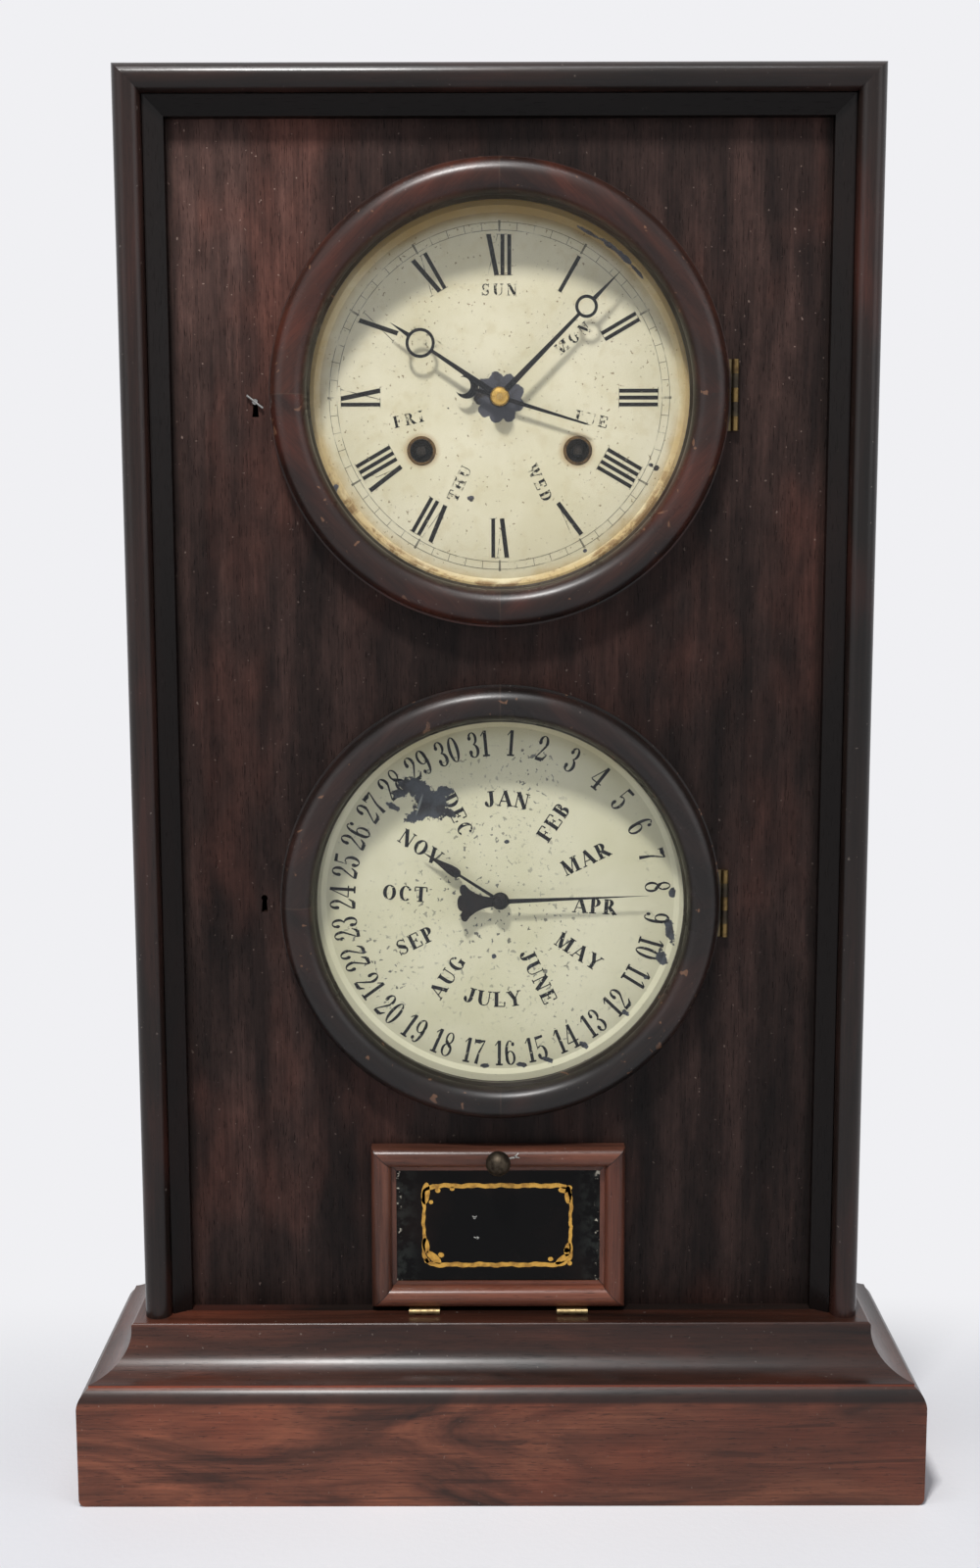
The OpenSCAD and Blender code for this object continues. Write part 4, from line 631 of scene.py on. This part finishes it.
TOP = 1 - HAIR / 2
LOW = HAIR / 2
SIX = (bow(0.3, 0.5, 0.28, 0.5, 62, 298, 0.16, 0.04) + bow(0.3, 0.29, 0.27, 0.29, -180, 180, 0.13, 0.04)
       + ball(0.46, 0.84, 0.085))
GLYPHS = {
    "A": (bar((0.1, 0), (0.44, 1), HAIR) + bar((0.44, 1), (0.8, 0), STEM)
          + bar((0.2, 0.32), (0.66, 0.32), HAIR)
          + foot(0.1, LOW, 0.26) + foot(0.8, LOW, 0.38), 0.96),
    "B": (stem(0.17, feet="") + bar((0, TOP), (0.34, TOP), HAIR) + bar((0, LOW), (0.34, LOW), HAIR)
          + bar((0.17, 0.52), (0.36, 0.52), HAIR) + bow(0.34, 0.755, 0.27, 0.245, -90, 90)
          + bow(0.34, 0.27, 0.33, 0.27, -90, 90), 0.78),
    "C": (bow(0.42, 0.5, 0.4, 0.5, 48, 312) + ball(0.68, 0.76, 0.09), 0.84),
    "D": (stem(0.17, feet="") + bar((0, TOP), (0.36, TOP), HAIR) + bar((0, LOW), (0.36, LOW), HAIR)
          + bow(0.34, 0.5, 0.46, 0.5, -90, 90), 0.88),
    "E": (stem(0.17, feet="") + arm(0, 0.68, TOP, -0.26) + arm(0, 0.72, LOW, 0.28)
          + arm(0.2, 0.48, 0.51, 0.12)
          + arm(0.2, 0.48, 0.51, -0.12), 0.8),
    "F": (stem(0.17, feet="b") + arm(0, 0.68, TOP, -0.26) + arm(0.2, 0.48, 0.51, 0.12)
          + arm(0.2, 0.48, 0.51, -0.12),
          0.74),
    "G": (bow(0.42, 0.5, 0.4, 0.5, 48, 318) + ball(0.68, 0.76, 0.08) + bar((0.68, 0.05), (0.68, 0.42), STEM)
          + foot(0.68, 0.42, 0.36), 0.9),
    "H": (stem(0.17) + stem(0.7) + bar((0.17, 0.5), (0.7, 0.5), HAIR), 0.92),
    "I": (stem(0.2), 0.42),
    "J": (stem(0.42, 0.22, 1.0, feet="t") + bow(0.235, 0.24, 0.28, 0.26, 180, 360) + ball(0.06, 0.28, 0.09),
          0.66),
    "L": (stem(0.17, feet="t") + arm(0, 0.7, LOW, 0.3), 0.76),
    "M": (bar((0.12, 0), (0.12, 1), HAIR) + bar((0.14, 1), (0.47, 0.02), STEM)
          + bar((0.47, 0.02), (0.84, 1), HAIR)
          + stem(0.9) + foot(0.12, LOW, 0.26) + foot(0.12, TOP, 0.24), 1.12),
    "N": (bar((0.12, 0), (0.12, 1), HAIR) + bar((0.14, 1), (0.72, 0), STEM) + bar((0.74, 0), (0.74, 1), HAIR)
          + foot(0.12, LOW, 0.28) + foot(0.12, TOP, 0.24) + foot(0.74, TOP, 0.28), 0.92),
    "O": (bow(0.42, 0.5, 0.42, 0.5, -180, 180), 0.88),
    "P": (stem(0.17, feet="b") + bar((0, TOP), (0.36, TOP), HAIR) + bar((0.17, 0.46), (0.36, 0.46), HAIR)
          + bow(0.34, 0.73, 0.31, 0.27, -90, 90), 0.7),
    "R": (stem(0.17, feet="b") + bar((0, TOP), (0.36, TOP), HAIR) + bar((0.17, 0.48), (0.36, 0.48), HAIR)
          + bow(0.34, 0.74, 0.3, 0.26, -90, 90) + bar((0.36, 0.48), (0.74, 0.02), STEM)
          + foot(0.76, LOW, 0.26), 0.88),
    "S": (bow(0.36, 0.745, 0.29, 0.255, 30, 250, 0.13) + bow(0.36, 0.265, 0.3, 0.265, -150, 70, 0.13)
          + bar((0.17, 0.63), (0.56, 0.38), STEM) + bar((0.62, 0.72), (0.62, 1), HAIR)
          + bar((0.08, 0), (0.08, 0.28), HAIR), 0.74),
    "T": (stem(0.4, feet="b") + arm(0.4, 0.78, TOP, -0.28) + arm(0.4, 0.02, TOP, -0.28), 0.82),
    "U": (bar((0.17, 0.3), (0.17, 1), STEM) + bar((0.74, 0.3), (0.74, 1), HAIR) + foot(0.17, TOP)
          + foot(0.74, TOP, 0.26)
          + bow(0.42, 0.3, 0.345, 0.3, 180, 300) + bow(0.42, 0.3, 0.345, 0.3, 300, 360, HAIR), 0.9),
    "V": (bar((0.14, 1), (0.45, 0), STEM) + bar((0.45, 0), (0.76, 1), HAIR) + foot(0.14, TOP)
          + foot(0.76, TOP, 0.26),
          0.88),
    "W": (bar((0.12, 1), (0.36, 0), STEM) + bar((0.36, 0), (0.6, 1), HAIR) + bar((0.54, 1), (0.8, 0), STEM)
          + bar((0.8, 0), (1.06, 1), HAIR) + foot(0.12, TOP) + foot(1.06, TOP, 0.24), 1.16),
    "Y": (bar((0.12, 1), (0.44, 0.45), STEM) + bar((0.44, 0.45), (0.76, 1), HAIR)
          + stem(0.43, 0, 0.5, feet="b")
          + foot(0.12, TOP, 0.36) + foot(0.76, TOP, 0.26), 0.88),
    "0": (bow(0.3, 0.5, 0.28, 0.5, -180, 180, 0.16, 0.04), 0.62),
    "1": (stem(0.26, wide=0.17, feet="b") + bar((0.04, 0.8), (0.22, 0.99), 0.05), 0.5),
    "2": (bow(0.29, 0.74, 0.26, 0.26, -25, 170, 0.15, 0.04) + ball(0.12, 0.72, 0.095)
          + bar((0.47, 0.64), (0.07, 0.12), 0.1, 0.05) + bar((0.04, 0.07), (0.4, 0.07), 0.12, 0.15)
          + bar((0.4, 0.07), (0.57, 0.26), 0.13, 0.04), 0.62),
    "3": (bow(0.27, 0.75, 0.25, 0.25, -90, 150, 0.14, 0.04)
          + bow(0.27, 0.27, 0.29, 0.27, -150, 90, 0.16, 0.04)
          + ball(0.12, 0.78, 0.09) + ball(0.11, 0.22, 0.095), 0.62),
    "4": (bar((0.42, 1), (0.03, 0.3), 0.05) + bar((0.02, 0.28), (0.64, 0.28), 0.05)
          + stem(0.44, wide=0.17, feet="b"),
          0.7),
    "5": (bar((0.1, 0.48), (0.1, 0.99), 0.05) + bar((0.1, 0.92), (0.5, 0.95), 0.13, 0.1)
          + bow(0.27, 0.3, 0.29, 0.3, -150, 130, 0.16, 0.04) + ball(0.11, 0.2, 0.095), 0.62),
    "6": (SIX, 0.62),
    "7": (bar((0.04, 0.91), (0.34, 0.91), 0.13, 0.17) + bar((0.34, 0.91), (0.57, 0.97), 0.12, 0.04)
          + bar((0.55, 0.95), (0.3, 0.45), 0.05, 0.1) + bar((0.3, 0.45), (0.22, 0), 0.1, 0.19)
          + bar((0.05, 0.78), (0.05, 1), 0.05), 0.6),
    "8": (bow(0.3, 0.755, 0.22, 0.245, -180, 180, 0.1, 0.04)
          + bow(0.3, 0.27, 0.28, 0.27, -180, 180, 0.13, 0.04)
          + bar((0.15, 0.62), (0.44, 0.42), 0.14), 0.62),
    "9": (half_turn(SIX, 0.3, 0.5), 0.62),
}


def word(text, height, gap=0.1, squeeze=1.0):
    """The strokes of a word, centred on its middle, and its letters' middles."""
    wide = sum(GLYPHS[c][1] * squeeze for c in text) + gap * (len(text) - 1)
    x = -wide / 2
    letters = []
    for c in text:
        shape, advance = GLYPHS[c]
        middle = x + advance * squeeze / 2
        letters.append((middle * height,
                        [[Vector(((p.x * squeeze + x - middle) * height, (p.y - 0.5) * height))
                                           for p in poly] for poly in shape]))
        x += advance * squeeze + gap
    return letters


def turned(point, clockwise):
    """A point of the dial's plane turned clockwise about its axis, in degrees."""
    a = math.radians(clockwise)
    return Vector((point[0] * math.cos(a) + point[1] * math.sin(a),
                   -point[0] * math.sin(a) + point[1] * math.cos(a)))


def placed(shape, at, clockwise):
    return [[Vector(at) + turned(p, clockwise) for p in poly] for poly in shape]


def facing(poly):
    """The polygon with its face towards the viewer."""
    area = sum(a.x * b.y - b.x * a.y for a, b in zip(poly, poly[1:] + poly[:1]))
    return poly if area > 0 else poly[::-1]


def printed(name, shapes, centre_z, y, material, body="case"):
    """Flat shapes in mm round an axis, laid just in front of the plane y."""
    verts, faces = [], []
    for poly in shapes:
        poly = facing(poly)
        first = len(verts)
        verts += [(p.x / 1000, y, centre_z + p.y / 1000) for p in poly]
        faces.append(tuple(range(first, len(verts))))
    return solid(name, verts, faces, material, body)


def solid(name, verts, faces, material, body="case", smooth=False):
    mesh = bpy.data.meshes.new(name)
    mesh.from_pydata(verts, [], faces)
    mesh.update()
    for face in mesh.polygons:
        face.use_smooth = smooth
    piece = bpy.data.objects.new(name, mesh)
    bpy.context.scene.collection.objects.link(piece)
    mesh.materials.append(material)
    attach(piece, body)
    return piece


# The time dial's print

ROMAN_OUT, ROMAN_IN = 87.0, 65.5
ROMAN = ["XII", "I", "II", "III", "IIII", "V", "VI", "VII", "VIII", "IX", "X", "XI"]
ROMAN_WIDE = {"I": 3.7, "V": 7.2, "X": 7.0}


def roman_strokes(text):
    """Thick strokes and hairlines of one numeral, the tops outward."""
    thick, thin = [], []
    x = -sum(ROMAN_WIDE[c] for c in text) / 2
    low, high = ROMAN_IN, ROMAN_OUT
    for c in text:
        wide = ROMAN_WIDE[c]
        mid = x + wide / 2
        if c == "I":
            thick += bar((mid, low), (mid, high), 2.1)
            thin += bar((mid - 1.9, low), (mid + 1.9, low), 0.3) + bar((mid - 1.9, high), (mid + 1.9, high),
                                                                       0.3)
        elif c == "V":
            thick += bar((mid - 2.1, high), (mid + 0.6, low), 2.5)
            thin += bar((mid + 3.1, high), (mid + 0.7, low), 0.35)
            thin += bar((mid - 4.0, high), (mid - 0.4, high), 0.3) + bar((mid + 2.0, high), (mid + 4.2, high),
                                                                         0.3)
        else:
            thick += bar((mid - 2.2, high), (mid + 2.2, low), 2.5)
            thin += bar((mid + 2.8, high), (mid - 2.6, low), 0.35)
            thin += bar((mid - 3.8, high), (mid - 0.6, high), 0.3) + bar((mid + 0.6, low), (mid + 3.8, low),
                                                                         0.3)
            thin += bar((mid + 1.8, high), (mid + 3.8, high), 0.3) + bar((mid - 3.8, low), (mid - 1.6, low),
                                                                         0.3)
        x += wide
    return thick, thin


def circle_line(r, wide, steps=120):
    quads = []
    for i in range(steps):
        pts = []
        for k, s in ((i, 1), (i + 1, 1), (i + 1, -1), (i, -1)):
            a = 2 * math.pi * k / steps
            pts.append(Vector(((r + s * wide / 2) * math.cos(a), (r + s * wide / 2) * math.sin(a))))
        quads.append(pts)
    return quads


def print_time_dial():
    y = UPPER_FACE - PRINT_GAP
    thick, thin = [], []
    for hour, text in enumerate(ROMAN):
        strong, fine = roman_strokes(text)
        thick += placed(strong, (0, 0), hour * 30)
        thin += placed(fine, (0, 0), hour * 30)
    printed("numerals", thick, UPPER_Z, y, dial_metal("print_strong", upper_paint, strong_ink))
    printed("numeral_hairlines", thin, UPPER_Z, y, dial_metal("print_faint", upper_paint, faint_ink))
    track = circle_line(89.2, 0.32) + circle_line(93.4, 0.32)
    for minute in range(60):
        if minute % 5:
            track += placed(bar((0, 89.2), (0, 93.4), 0.34), (0, 0), minute * 6)
        else:
            track += placed(bar((0, 88.4), (0, 94.4), 0.9, 1.3), (0, 0), minute * 6)
    printed("minute_track", track, UPPER_Z, y, dial_metal("print_track", upper_paint, track_ink))
    days, worn_day = [], []
    for i, name in enumerate(["SUN", "MON", "TUE", "WED", "THU", "FRI", "SAT"]):
        angle = i * 360 / 7
        lean = 0 if i == 0 else (angle - 90 if angle < 180 else angle - 270)
        spot = turned((0, 57.8 if i == 0 else 51.3), angle)
        for x, shape in word(name, 6.2, gap=0.3):
            (worn_day if name == "SAT" else days).extend(
                placed([[p + Vector((x, 0)) for p in poly] for poly in shape], spot, lean))
    printed("weekdays", days, UPPER_Z, y, dial_metal("print_days", upper_paint, worn_ink))
    printed("weekday_worn", worn_day, UPPER_Z, y, dial_metal("print_worn_day", upper_paint, ghost_ink))


# The calendar dial's print

def print_calendar_dial():
    y = LOWER_FACE - PRINT_GAP
    ink = dial_metal("print_calendar", lower_paint, solid_ink)
    dates = []
    for day in range(1, 32):
        angle = 4 + (day - 1) * 360 / 31
        flip = 12 <= day <= 21
        for x, shape in word(str(day), 14.6, gap=0.03, squeeze=0.74):
            step = math.degrees(x / 89.5)
            spot_angle = angle + (-step if flip else step)
            dates += placed(shape, turned((0, 89.5), spot_angle), spot_angle + (180 if flip else 0))
    printed("dates", dates, LOWER_Z, y, ink)
    months = []
    names = ["JAN", "FEB", "MAR", "APR", "MAY", "JUNE", "JULY", "AUG", "SEP", "OCT", "NOV", "DEC"]
    for i, name in enumerate(names):
        angle = 4 + 30 * i
        if i in (0, 6):
            for x, shape in word(name, 8.8, gap=0.16):
                step = math.degrees(x / 58)
                at = angle + (step if i == 0 else -step)
                months += placed(shape, turned((0, 58), at), at + (0 if i == 0 else 180))
        else:
            lean = angle - 90 if angle < 180 else angle - 270
            reach = 54 if len(name) == 3 else 50
            for x, shape in word(name, 8.8, gap=0.16):
                months += placed([[p + Vector((x, 0)) for p in poly] for poly in shape],
                                 turned((0, reach), angle), lean)
    printed("months", months, LOWER_Z, y, ink)


# The gilt border of the tablet

def gilt():
    t = Tree("gilt")
    cloud = t.noise(240.0, 4.0, 0.6)
    colour = t.mix(t.step(cloud, 0.4, 0.68), srgb(214, 164, 70), srgb(160, 116, 48))
    return t.surface(colour, t.step(cloud, 0.3, 0.7, (0.36, 0.55)), t.bump(cloud, 0.00004), Metallic=0.35)


def ribbon(points, width):
    """Quads along a closed path, width mm wide at each point."""
    quads = []
    count = len(points)
    sides = []
    for i, p in enumerate(points):
        run = points[(i + 1) % count] - points[i - 1]
        side = Vector((-run.y, run.x)).normalized() * width[i] / 2
        sides.append((p + side, p - side))
    for i in range(count):
        a, b = sides[i], sides[(i + 1) % count]
        quads.append([a[0], a[1], b[1], b[0]])
    return quads


def gilt_border():
    """A thick uneven gilt line round the tablet with rounded scrolls at its corners."""
    half_w, half_h = 43.0, 24.5
    rng = random.Random(7)
    path = []
    for i in range(360):
        a = 2 * math.pi * i / 360
        c, s = math.cos(a), math.sin(a)
        power = 0.16
        path.append(Vector((half_w * math.copysign(abs(c) ** power, c),
                            half_h * math.copysign(abs(s) ** power, s))))
    points, width = [], []
    for i, p in enumerate(resample(path, 300)):
        flat = 1.0 if abs(p.x) < half_w - 3 else 0.0
        wave = math.sin(i * 0.33) * 0.28 + math.sin(i * 0.83 + 1) * 0.16
        points.append(p + Vector((-p.x / half_w, -p.y / half_h)) * (wave + 0.9))
        width.append(1.9 + 0.7 * flat + 0.2 * math.sin(i * 0.47 + 2) + rng.uniform(-0.1, 0.1))
    shapes = ribbon(points, width)
    # Scrolls: place x and z, half sizes and turn, in mm and degrees from the tablet's middle
    for x, z, wide, high, turn in [
            (-41.0, 19.0, 2.4, 6.6, 6), (-37.9, 13.9, 1.2, 1.2, 0), (-34.0, 20.8, 1.5, 1.4, 0),
            (-25.8, 21.8, 1.4, 1.2, 0),
            (-41.0, -12.0, 2.0, 4.6, -8), (-36.5, -19.2, 2.2, 5.4, -48), (-40.4, -21.2, 1.6, 1.5, 0),
            (-32.3, -17.7, 1.7, 1.5, 20), (40.6, 18.0, 2.0, 5.2, 0), (41.2, 22.2, 1.7, 1.6, 0),
            (38.0, 21.0, 3.0, 1.8, 0), (40.4, -14.6, 1.9, 4.2, 10), (37.4, -20.4, 1.9, 4.8, 52),
            (39.8, -15.0, 1.6, 1.5, 0), (30.6, -20.3, 1.5, 1.3, 0), (41.6, -22.8, 1.4, 1.4, 0)]:
        round_shape = [Vector((wide * math.cos(i * math.pi / 10), high * math.sin(i * math.pi / 10)))
                       for i in range(20)]
        shapes += placed([round_shape], (x, z), turn)
    glass_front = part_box("door_glass")[0][1]
    shift = [[p + Vector((DOOR_X * 1000 - 0.5, 0)) for p in poly] for poly in shapes]
    printed("tablet_border", shift, DOOR_Z, glass_front - PRINT_GAP, gilt(), "tablet_door")
    fleck = Tree("pale_fleck")
    tone = fleck.mix(fleck.step(fleck.noise(900.0), 0.4, 0.6), srgb(214, 212, 205), srgb(150, 150, 144))
    flecks = ball(-13.5, 4.5, 0.8) + bar((-14.8, 5.6), (-13.2, 4.2), 0.5) + bar((-12.3, 5.6), (-13.4, 4.4),
                                                                                0.45)
    flecks += ball(-11.8, -7.5, 0.8) + bar((-14.0, -7.0), (-11.8, -7.8), 0.5)
    flecks = [[p + Vector((DOOR_X * 1000, 0)) for p in poly] for poly in flecks]
    pale = fleck.surface(tone, 0.5)
    printed("tablet_flecks", flecks, DOOR_Z, glass_front - PRINT_GAP, pale, "tablet_door")
    knob_low, knob_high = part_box("door_knob")
    knob_x, knob_z = (knob_low[0] + knob_high[0]) / 2, (knob_low[2] + knob_high[2]) / 2
    tab = bar((6.4, 1.0), (9.4, 1.8), 1.0) + bar((9.2, 1.6), (11.6, 4.2), 0.9,
                                                 0.5) + bar((9.2, 2.0), (12.2, 1.4), 0.9, 0.5)
    tab = [[p + Vector((knob_x * 1000, 0)) for p in poly] for poly in tab]
    printed("rail_tab", tab, knob_z, DOOR_LOW[1] - PRINT_GAP, pale, "tablet_door")


def resample(path, count):
    """Points at even spacing round a closed path."""
    total = [0.0]
    for a, b in zip(path, path[1:] + path[:1]):
        total.append(total[-1] + (b - a).length)
    out, k = [], 0
    for i in range(count):
        want = total[-1] * i / count
        while total[k + 1] < want:
            k += 1
        a, b = path[k], path[(k + 1) % len(path)]
        span = total[k + 1] - total[k] or 1
        out.append(a.lerp(b, (want - total[k]) / span))
    return out


# Stage, light and camera

BACKDROP = srgb(240, 240, 243)


def seen_directly(tree):
    """1 for rays from the camera, and for those that a gloss or a glass sends on."""
    paths = tree.nodes.new("ShaderNodeLightPath")
    seen = paths.outputs["Is Camera Ray"]
    for name in ("Is Glossy Ray", "Is Transmission Ray"):
        node = tree.nodes.new("ShaderNodeMath")
        node.operation = "MAXIMUM"
        tree.links.new(seen, node.inputs[0])
        tree.links.new(paths.outputs[name], node.inputs[1])
        seen = node.outputs[0]
    return seen


def stage():
    """A pale floor that keeps the object's shadow and fades into the backdrop further out."""
    t = Tree("studio_floor")
    tone = t.mix(t.step(t.noise(3.0, 2.0), 0.3, 0.7), srgb(234, 234, 238), srgb(240, 240, 243))
    shader = t.add("ShaderNodeBsdfPrincipled")
    t.plug(shader.inputs["Base Color"], tone)
    shader.inputs["Roughness"].default_value = 0.8
    shader.inputs["Specular IOR Level"].default_value = 0.15
    t.plug(shader.inputs["Normal"], t.bump(t.noise(260.0, 3.0), 0.0002))
    glow = t.add("ShaderNodeEmission")
    glow.inputs["Color"].default_value = BACKDROP
    away = t.add("ShaderNodeVectorMath", operation="LENGTH")
    t.plug(away.inputs[0], t.at)
    behind = t.step(t.split()[1], 0.0, 0.22)
    far = t.math("MAXIMUM", t.step(away.outputs["Value"], 0.3, 0.65), behind)
    both = t.add("ShaderNodeMixShader")
    t.plug(both.inputs[0], t.math("MULTIPLY", far, seen_directly(t.tree)))
    t.plug(both.inputs[1], shader.outputs[0])
    t.plug(both.inputs[2], glow.outputs[0])
    t.plug(t.add("ShaderNodeOutputMaterial").inputs["Surface"], both.outputs[0])
    mesh = bpy.data.meshes.new("floor")
    reach = 12.0
    mesh.from_pydata([(-reach, -reach, 0), (reach, -reach, 0), (reach, reach, 0), (-reach, reach, 0)], [],
                     [(0, 1, 2, 3)])
    floor = bpy.data.objects.new("floor", mesh)
    floor.data.materials.append(t.mat)
    bpy.context.scene.collection.objects.link(floor)


def world():
    scene = bpy.context.scene
    scene.world = scene.world or bpy.data.worlds.new("world")
    scene.world.use_nodes = True
    tree = scene.world.node_tree
    tree.nodes.clear()
    out = tree.nodes.new("ShaderNodeOutputWorld")
    ambient = tree.nodes.new("ShaderNodeBackground")
    ambient.inputs["Color"].default_value = srgb(228, 234, 245)
    ambient.inputs["Strength"].default_value = 0.26
    white = tree.nodes.new("ShaderNodeBackground")
    white.inputs["Color"].default_value = BACKDROP
    mix = tree.nodes.new("ShaderNodeMixShader")
    tree.links.new(seen_directly(tree), mix.inputs[0])
    tree.links.new(ambient.outputs[0], mix.inputs[1])
    tree.links.new(white.outputs[0], mix.inputs[2])
    tree.links.new(mix.outputs[0], out.inputs[0])
    scene.view_settings.view_transform = "Standard"


def area(name, at, target, size, power, tone=(1.0, 1.0, 1.0)):
    lamp = bpy.data.lights.new(name, "AREA")
    lamp.shape = "RECTANGLE"
    lamp.size, lamp.size_y = size
    lamp.energy = power
    lamp.color = tone
    obj = bpy.data.objects.new(name, lamp)
    obj.location = at
    obj.rotation_euler = (Vector(target) - Vector(at)).to_track_quat("-Z", "Y").to_euler()
    bpy.context.scene.collection.objects.link(obj)


def lights():
    area("key", (-0.3, -1.08, 2.25), (0, 0, 0.45), (0.28, 0.2), 40.0, (1.0, 0.99, 0.975))
    area("overhead", (-0.08, -0.34, 1.7), (-0.02, -0.1, 0.4), (0.9, 0.12), 3.4, (0.96, 0.98, 1.0))
    area("left_fill", (-1.9, -1.3, 1.1), (0, 0, 0.4), (1.2, 1.4), 3.4)
    area("right_fill", (2.0, -1.2, 1.2), (0, 0, 0.4), (1.2, 1.4), 5.2)


def camera():
    data = bpy.data.cameras.new("camera")
    data.sensor_fit = "AUTO"
    sensor, focal_px, frame_px = 36.0, 1821.4, 1600
    data.sensor_width = sensor
    data.lens = sensor * focal_px / frame_px
    data.clip_start, data.clip_end = 0.02, 60
    obj = bpy.data.objects.new("camera", data)
    obj.location = (-0.0054, PANEL_Y - 0.9864, 0.528)
    obj.rotation_euler = (math.pi / 2 - 0.1301, 0.002, 0.0)
    bpy.context.scene.collection.objects.link(obj)
    bpy.context.scene.camera = obj


def paint(material, *names):
    """Gives CAD nodes their material."""
    for name in names:
        piece = frame["nodes"][name]
        piece.data.materials.clear()
        piece.data.materials.append(material)


def dress():
    paint(wood_panel(), "front_panel")
    paint(wood_frame("veneer_frame_side", "Z"), "frame_left", "frame_right")
    paint(wood_frame("veneer_frame_top", "X"), "frame_top")
    paint(wood_plain("veneer_sides", "Z", PANEL, 0.4, 0.2), "side_left", "side_right")
    paint(wood_plain("veneer_top", "X", PANEL, 0.45, 0.1), "top_board")
    paint(wood_base("veneer_base_front", "X"), "base_front")
    paint(wood_base("veneer_base_side", "Y"), "base_left", "base_right")
    paint(wood_ring("turned_upper", UPPER_Z, RING), "bezel_upper")
    paint(wood_ring("turned_lower", LOWER_Z, DARK_RING), "bezel_lower")
    paint(wood_door(), "door_frame")
    paint(wood_plain("veneer_sill", "X", FRAME, 0.5, 0.1), "base_board")
    paint(pine("pine_z", "Z"), "back_board", "movement_rails")
    paint(dial_metal("dial_upper", upper_paint), "dial_time")
    paint(dial_metal("dial_lower", lower_paint), "dial_calendar")
    paint(metal("eyelet", srgb(104, 80, 48), srgb(52, 40, 28), 0.5, 0.8, 200.0), "dial_grommets")
    glass = clear_glass()
    paint(glass, "glass_upper", "glass_lower")
    paint(black_glass(), "door_glass")
    paint(hinge_brass("hinge_worn", UPPER_Z), "leaf_upper")
    paint(hinge_brass("hinge_worn_low", LOWER_Z), "leaf_lower")
    paint(metal("hinge_plate", srgb(120, 100, 64), srgb(70, 56, 40), 0.42, 0.8, 160.0), "bezel_hinge_leaves")
    paint(metal("door_hinge", srgb(168, 148, 108), srgb(100, 82, 58), 0.42, 0.6, 200.0), "door_hinge_leaves",
          "door_leaves")
    paint(metal("knob", srgb(74, 66, 56), srgb(40, 34, 28), 0.56, 0.9, 220.0), "door_knob")
    paint(blued("blued_steel"), "minute_hand", "hour_hand", "day_hand", "date_hand", "month_hand")
    paint(metal("polished_brass", srgb(214, 174, 92), srgb(140, 104, 48), 0.22, 0.5, 300.0), "hand_nut")
    paint(metal("movement_brass", srgb(190, 156, 92), srgb(122, 94, 52), 0.36, 0.6, 60.0),
          "cannon_pinion", "hour_wheel", "minute_wheel", "date_wheel", "month_wheel", "month_idler",
          "calendar_frame",
          "plate_back", "time_great_wheel", "strike_great_wheel", "pin_wheel", "centre_wheel", "third_wheel",
          "escape_wheel")
    # The front plate painted dark brass, as painted shade inside the movement seen through the winding holes
    paint(metal("plate_painted_shade", srgb(66, 52, 34), srgb(36, 28, 20), 0.6, 0.8, 50.0), "plate_front")
    paint(metal("steel", srgb(150, 150, 148), srgb(92, 86, 80), 0.34, 0.5, 120.0),
          "hammer", "verge", "pendulum_rod", "latch_hook")
    # The winding arbors painted near black, as painted shade deep in the winding holes
    paint(metal("winding_steel", srgb(52, 46, 40), srgb(26, 22, 20), 0.6, 0.7, 160.0), "time_arbor",
          "strike_arbor")
    paint(metal("spring_steel", srgb(84, 92, 106), srgb(60, 54, 52), 0.34, 0.5, 80.0), "mainsprings", "gong")
    paint(metal("bob_brass", srgb(196, 160, 92), srgb(128, 98, 54), 0.28, 0.5, 40.0), "pendulum_bob",
          "suspension_cock")
    paint(metal("iron", srgb(66, 64, 62), srgb(48, 38, 32), 0.6, 0.6, 150.0), "gong_block")


stage()
world()
lights()
camera()
dress()
print_time_dial()
print_calendar_dial()
gilt_border()
